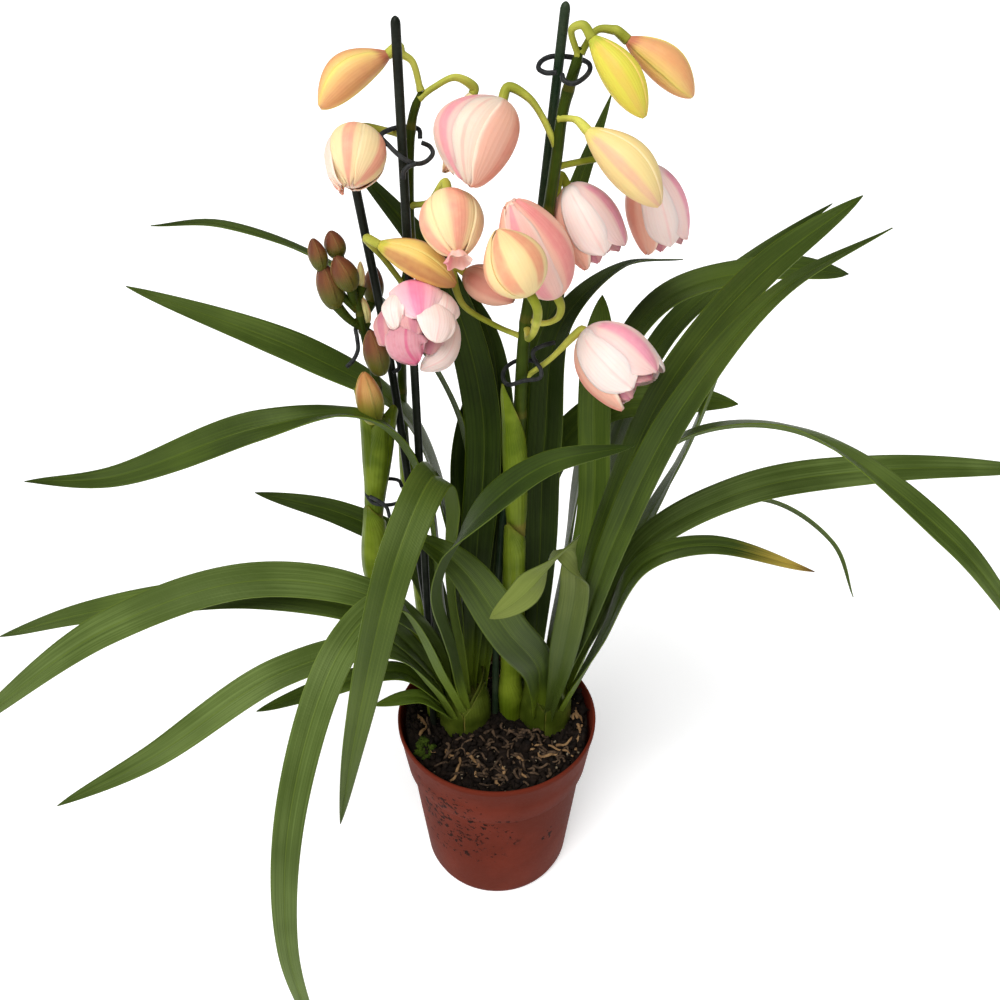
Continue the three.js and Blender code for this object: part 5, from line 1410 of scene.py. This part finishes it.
class ORCHID_OT_bulbs(bpy.types.Operator):
    """Builds both bulbs with their sheaths and short leaves"""
    bl_idname = "orchid.bulbs"
    bl_label = "Bulbs"

    def execute(self, context):
        for number, (name, bulb) in enumerate(BULBS.items()):
            parts = bulb_patches(bulb)
            looks = ["bulb_skin", "bulb_husk"]
            for turn, leaf in enumerate(SHEATH_LEAVES[name]):
                parts.append(blade(leaf, context.scene.orchid_leaves, 50 + number + turn, slot=len(looks)))
                looks.append(leaf["look"])
            make_piece(f"growth_{name}", parts, looks, [name])
        return {"FINISHED"}


class ORCHID_OT_compost(bpy.types.Operator):
    """Builds the compost with its bark, grit, roots, moss and straw"""
    bl_idname = "orchid.compost"
    bl_label = "Compost"

    def execute(self, context):
        draw = np.random.default_rng(41)
        trunks = [(np.array(bulb["centre"]), 13.5) for bulb in BULBS.values()]
        trunks += [(np.array(stem["route"][0][:2]), 5.5) for stem in STEMS.values()]
        parts = [compost_body()]
        parts.append(chips(context.scene.orchid_pot.chips, draw, 2.6, trunks, lift=0.3))
        parts.append(chips(130, draw, 0.7, trunks, lift=0.9, flatness=0.8, slot=2))
        for places in SURFACE_ROOTS:
            parts.append(root_patch(places, draw.uniform(0.9, 1.4), draw))
        for places in stray_roots(40, draw, trunks):
            parts.append(root_patch(places, draw.uniform(0.65, 1.15), draw, lift=2.4, slot=4))
        parts.append(chips(80, draw, 1.4, trunks, lift=1.3, flatness=1.0, middle=MOSS_PLACE, spread=5.5,
                           slot=5))
        parts.append(root_patch(STRAW, 0.8, draw, lift=3.0))
        looks = ["compost", "bark", "grit", "root", "root_dark", "moss"]
        make_piece("compost_bed", parts, looks, ["soil"])
        return {"FINISHED"}


class ORCHID_OT_pot(bpy.types.Operator):
    """Builds the nursery pot"""
    bl_idname = "orchid.pot"
    bl_label = "Pot"

    def execute(self, context):
        pot = make_piece("pot_shell", [patch(lathe(POT_WALL, 160))], ["clay"], ["pot"])
        drill(pot)
        return {"FINISHED"}


# The floor's half width and the heights of its two faces, in millimetres.
FLOOR_REACH, FLOOR_FACES = 6000.0, (-40.2, -0.2)
# Each light's aim, and its strength as a share of the key's.
LIGHTS = {"key": ((0.35, 0.75, -1.35), 1.0), "fill": ((0.9, 0.6, -0.35), 0.2)}
# The photo's camera: its place in metres and how far up it is tipped from looking straight down.
CAMERA_PLACE, CAMERA_TILT = (0.002, -0.417, 0.581), math.radians(54.1)


class ORCHID_OT_studio(bpy.types.Operator):
    """Builds the floor, the soft light and the camera"""
    bl_idname = "orchid.studio"
    bl_label = "Studio"

    def execute(self, context):
        scene, sizes = context.scene, context.scene.orchid_studio
        corners = np.array([(-1, -1), (1, -1), (1, 1), (-1, 1)]) * FLOOR_REACH
        slab = np.stack([np.column_stack([corners, np.full(4, height)]) for height in FLOOR_FACES])
        mesh = mesh_of("floor", [patch(slab)])
        mesh.materials.append(material("floor"))
        floor = place("floor", mesh)
        scene.world = bpy.data.worlds.new("studio_sky")
        scene.world.use_nodes = True
        background = scene.world.node_tree.nodes["Background"].inputs
        background["Color"].default_value = (1, 1, 1, 1)
        background["Strength"].default_value = sizes.sky
        for name, (aim, share) in LIGHTS.items():
            lamp = bpy.data.lights.new(name, "SUN")
            lamp.energy, lamp.angle = sizes.key * share, sizes.softness
            place(name, lamp).rotation_euler = Vector(aim).to_track_quat("-Z", "Y").to_euler()
        lens = bpy.data.cameras.new("camera")
        lens.lens, lens.sensor_width = sizes.lens, 36
        camera = place("camera", lens)
        camera.location = CAMERA_PLACE
        camera.rotation_euler = (CAMERA_TILT, 0, 0)
        scene.camera = camera
        scene.view_settings.view_transform = "Standard"
        return {"FINISHED"}


OPERATORS = [ORCHID_OT_studio, ORCHID_OT_leaves, ORCHID_OT_blooms, ORCHID_OT_stems, ORCHID_OT_supports,
             ORCHID_OT_bulbs, ORCHID_OT_compost, ORCHID_OT_pot]


class ORCHID_PT_panel(bpy.types.Panel):
    """Lists the orchid's pieces with their sizes and colours"""
    bl_label = "Orchid"
    bl_idname = "ORCHID_PT_panel"
    bl_space_type = "VIEW_3D"
    bl_region_type = "UI"
    bl_category = "Orchid"

    def draw(self, context):
        for operator in OPERATORS:
            self.layout.operator(operator.bl_idname)
        for key, group in SETTINGS.items():
            box = self.layout.box()
            for prop in group.__annotations__:
                box.prop(getattr(context.scene, key), prop)


SETTINGS = {"orchid_leaves": OrchidLeaves, "orchid_flowers": OrchidFlowers, "orchid_stems": OrchidStems,
            "orchid_pot": OrchidPot, "orchid_studio": OrchidStudio}
CLASSES = [*SETTINGS.values(), *OPERATORS, ORCHID_PT_panel]


def register():
    """Registers the classes and hangs the settings on the scene."""
    for made in CLASSES:
        bpy.utils.register_class(made)
    for key, group in SETTINGS.items():
        setattr(bpy.types.Scene, key, PointerProperty(type=group))


def unregister():
    """Takes the settings and the classes away again."""
    for key in SETTINGS:
        delattr(bpy.types.Scene, key)
    for made in reversed(CLASSES):
        bpy.utils.unregister_class(made)


def main():
    """Builds the whole plant and its studio."""
    register()
    for operator in OPERATORS:
        family, action = operator.bl_idname.split(".")
        getattr(getattr(bpy.ops, family), action)()


if __name__ == "__main__":
    main()
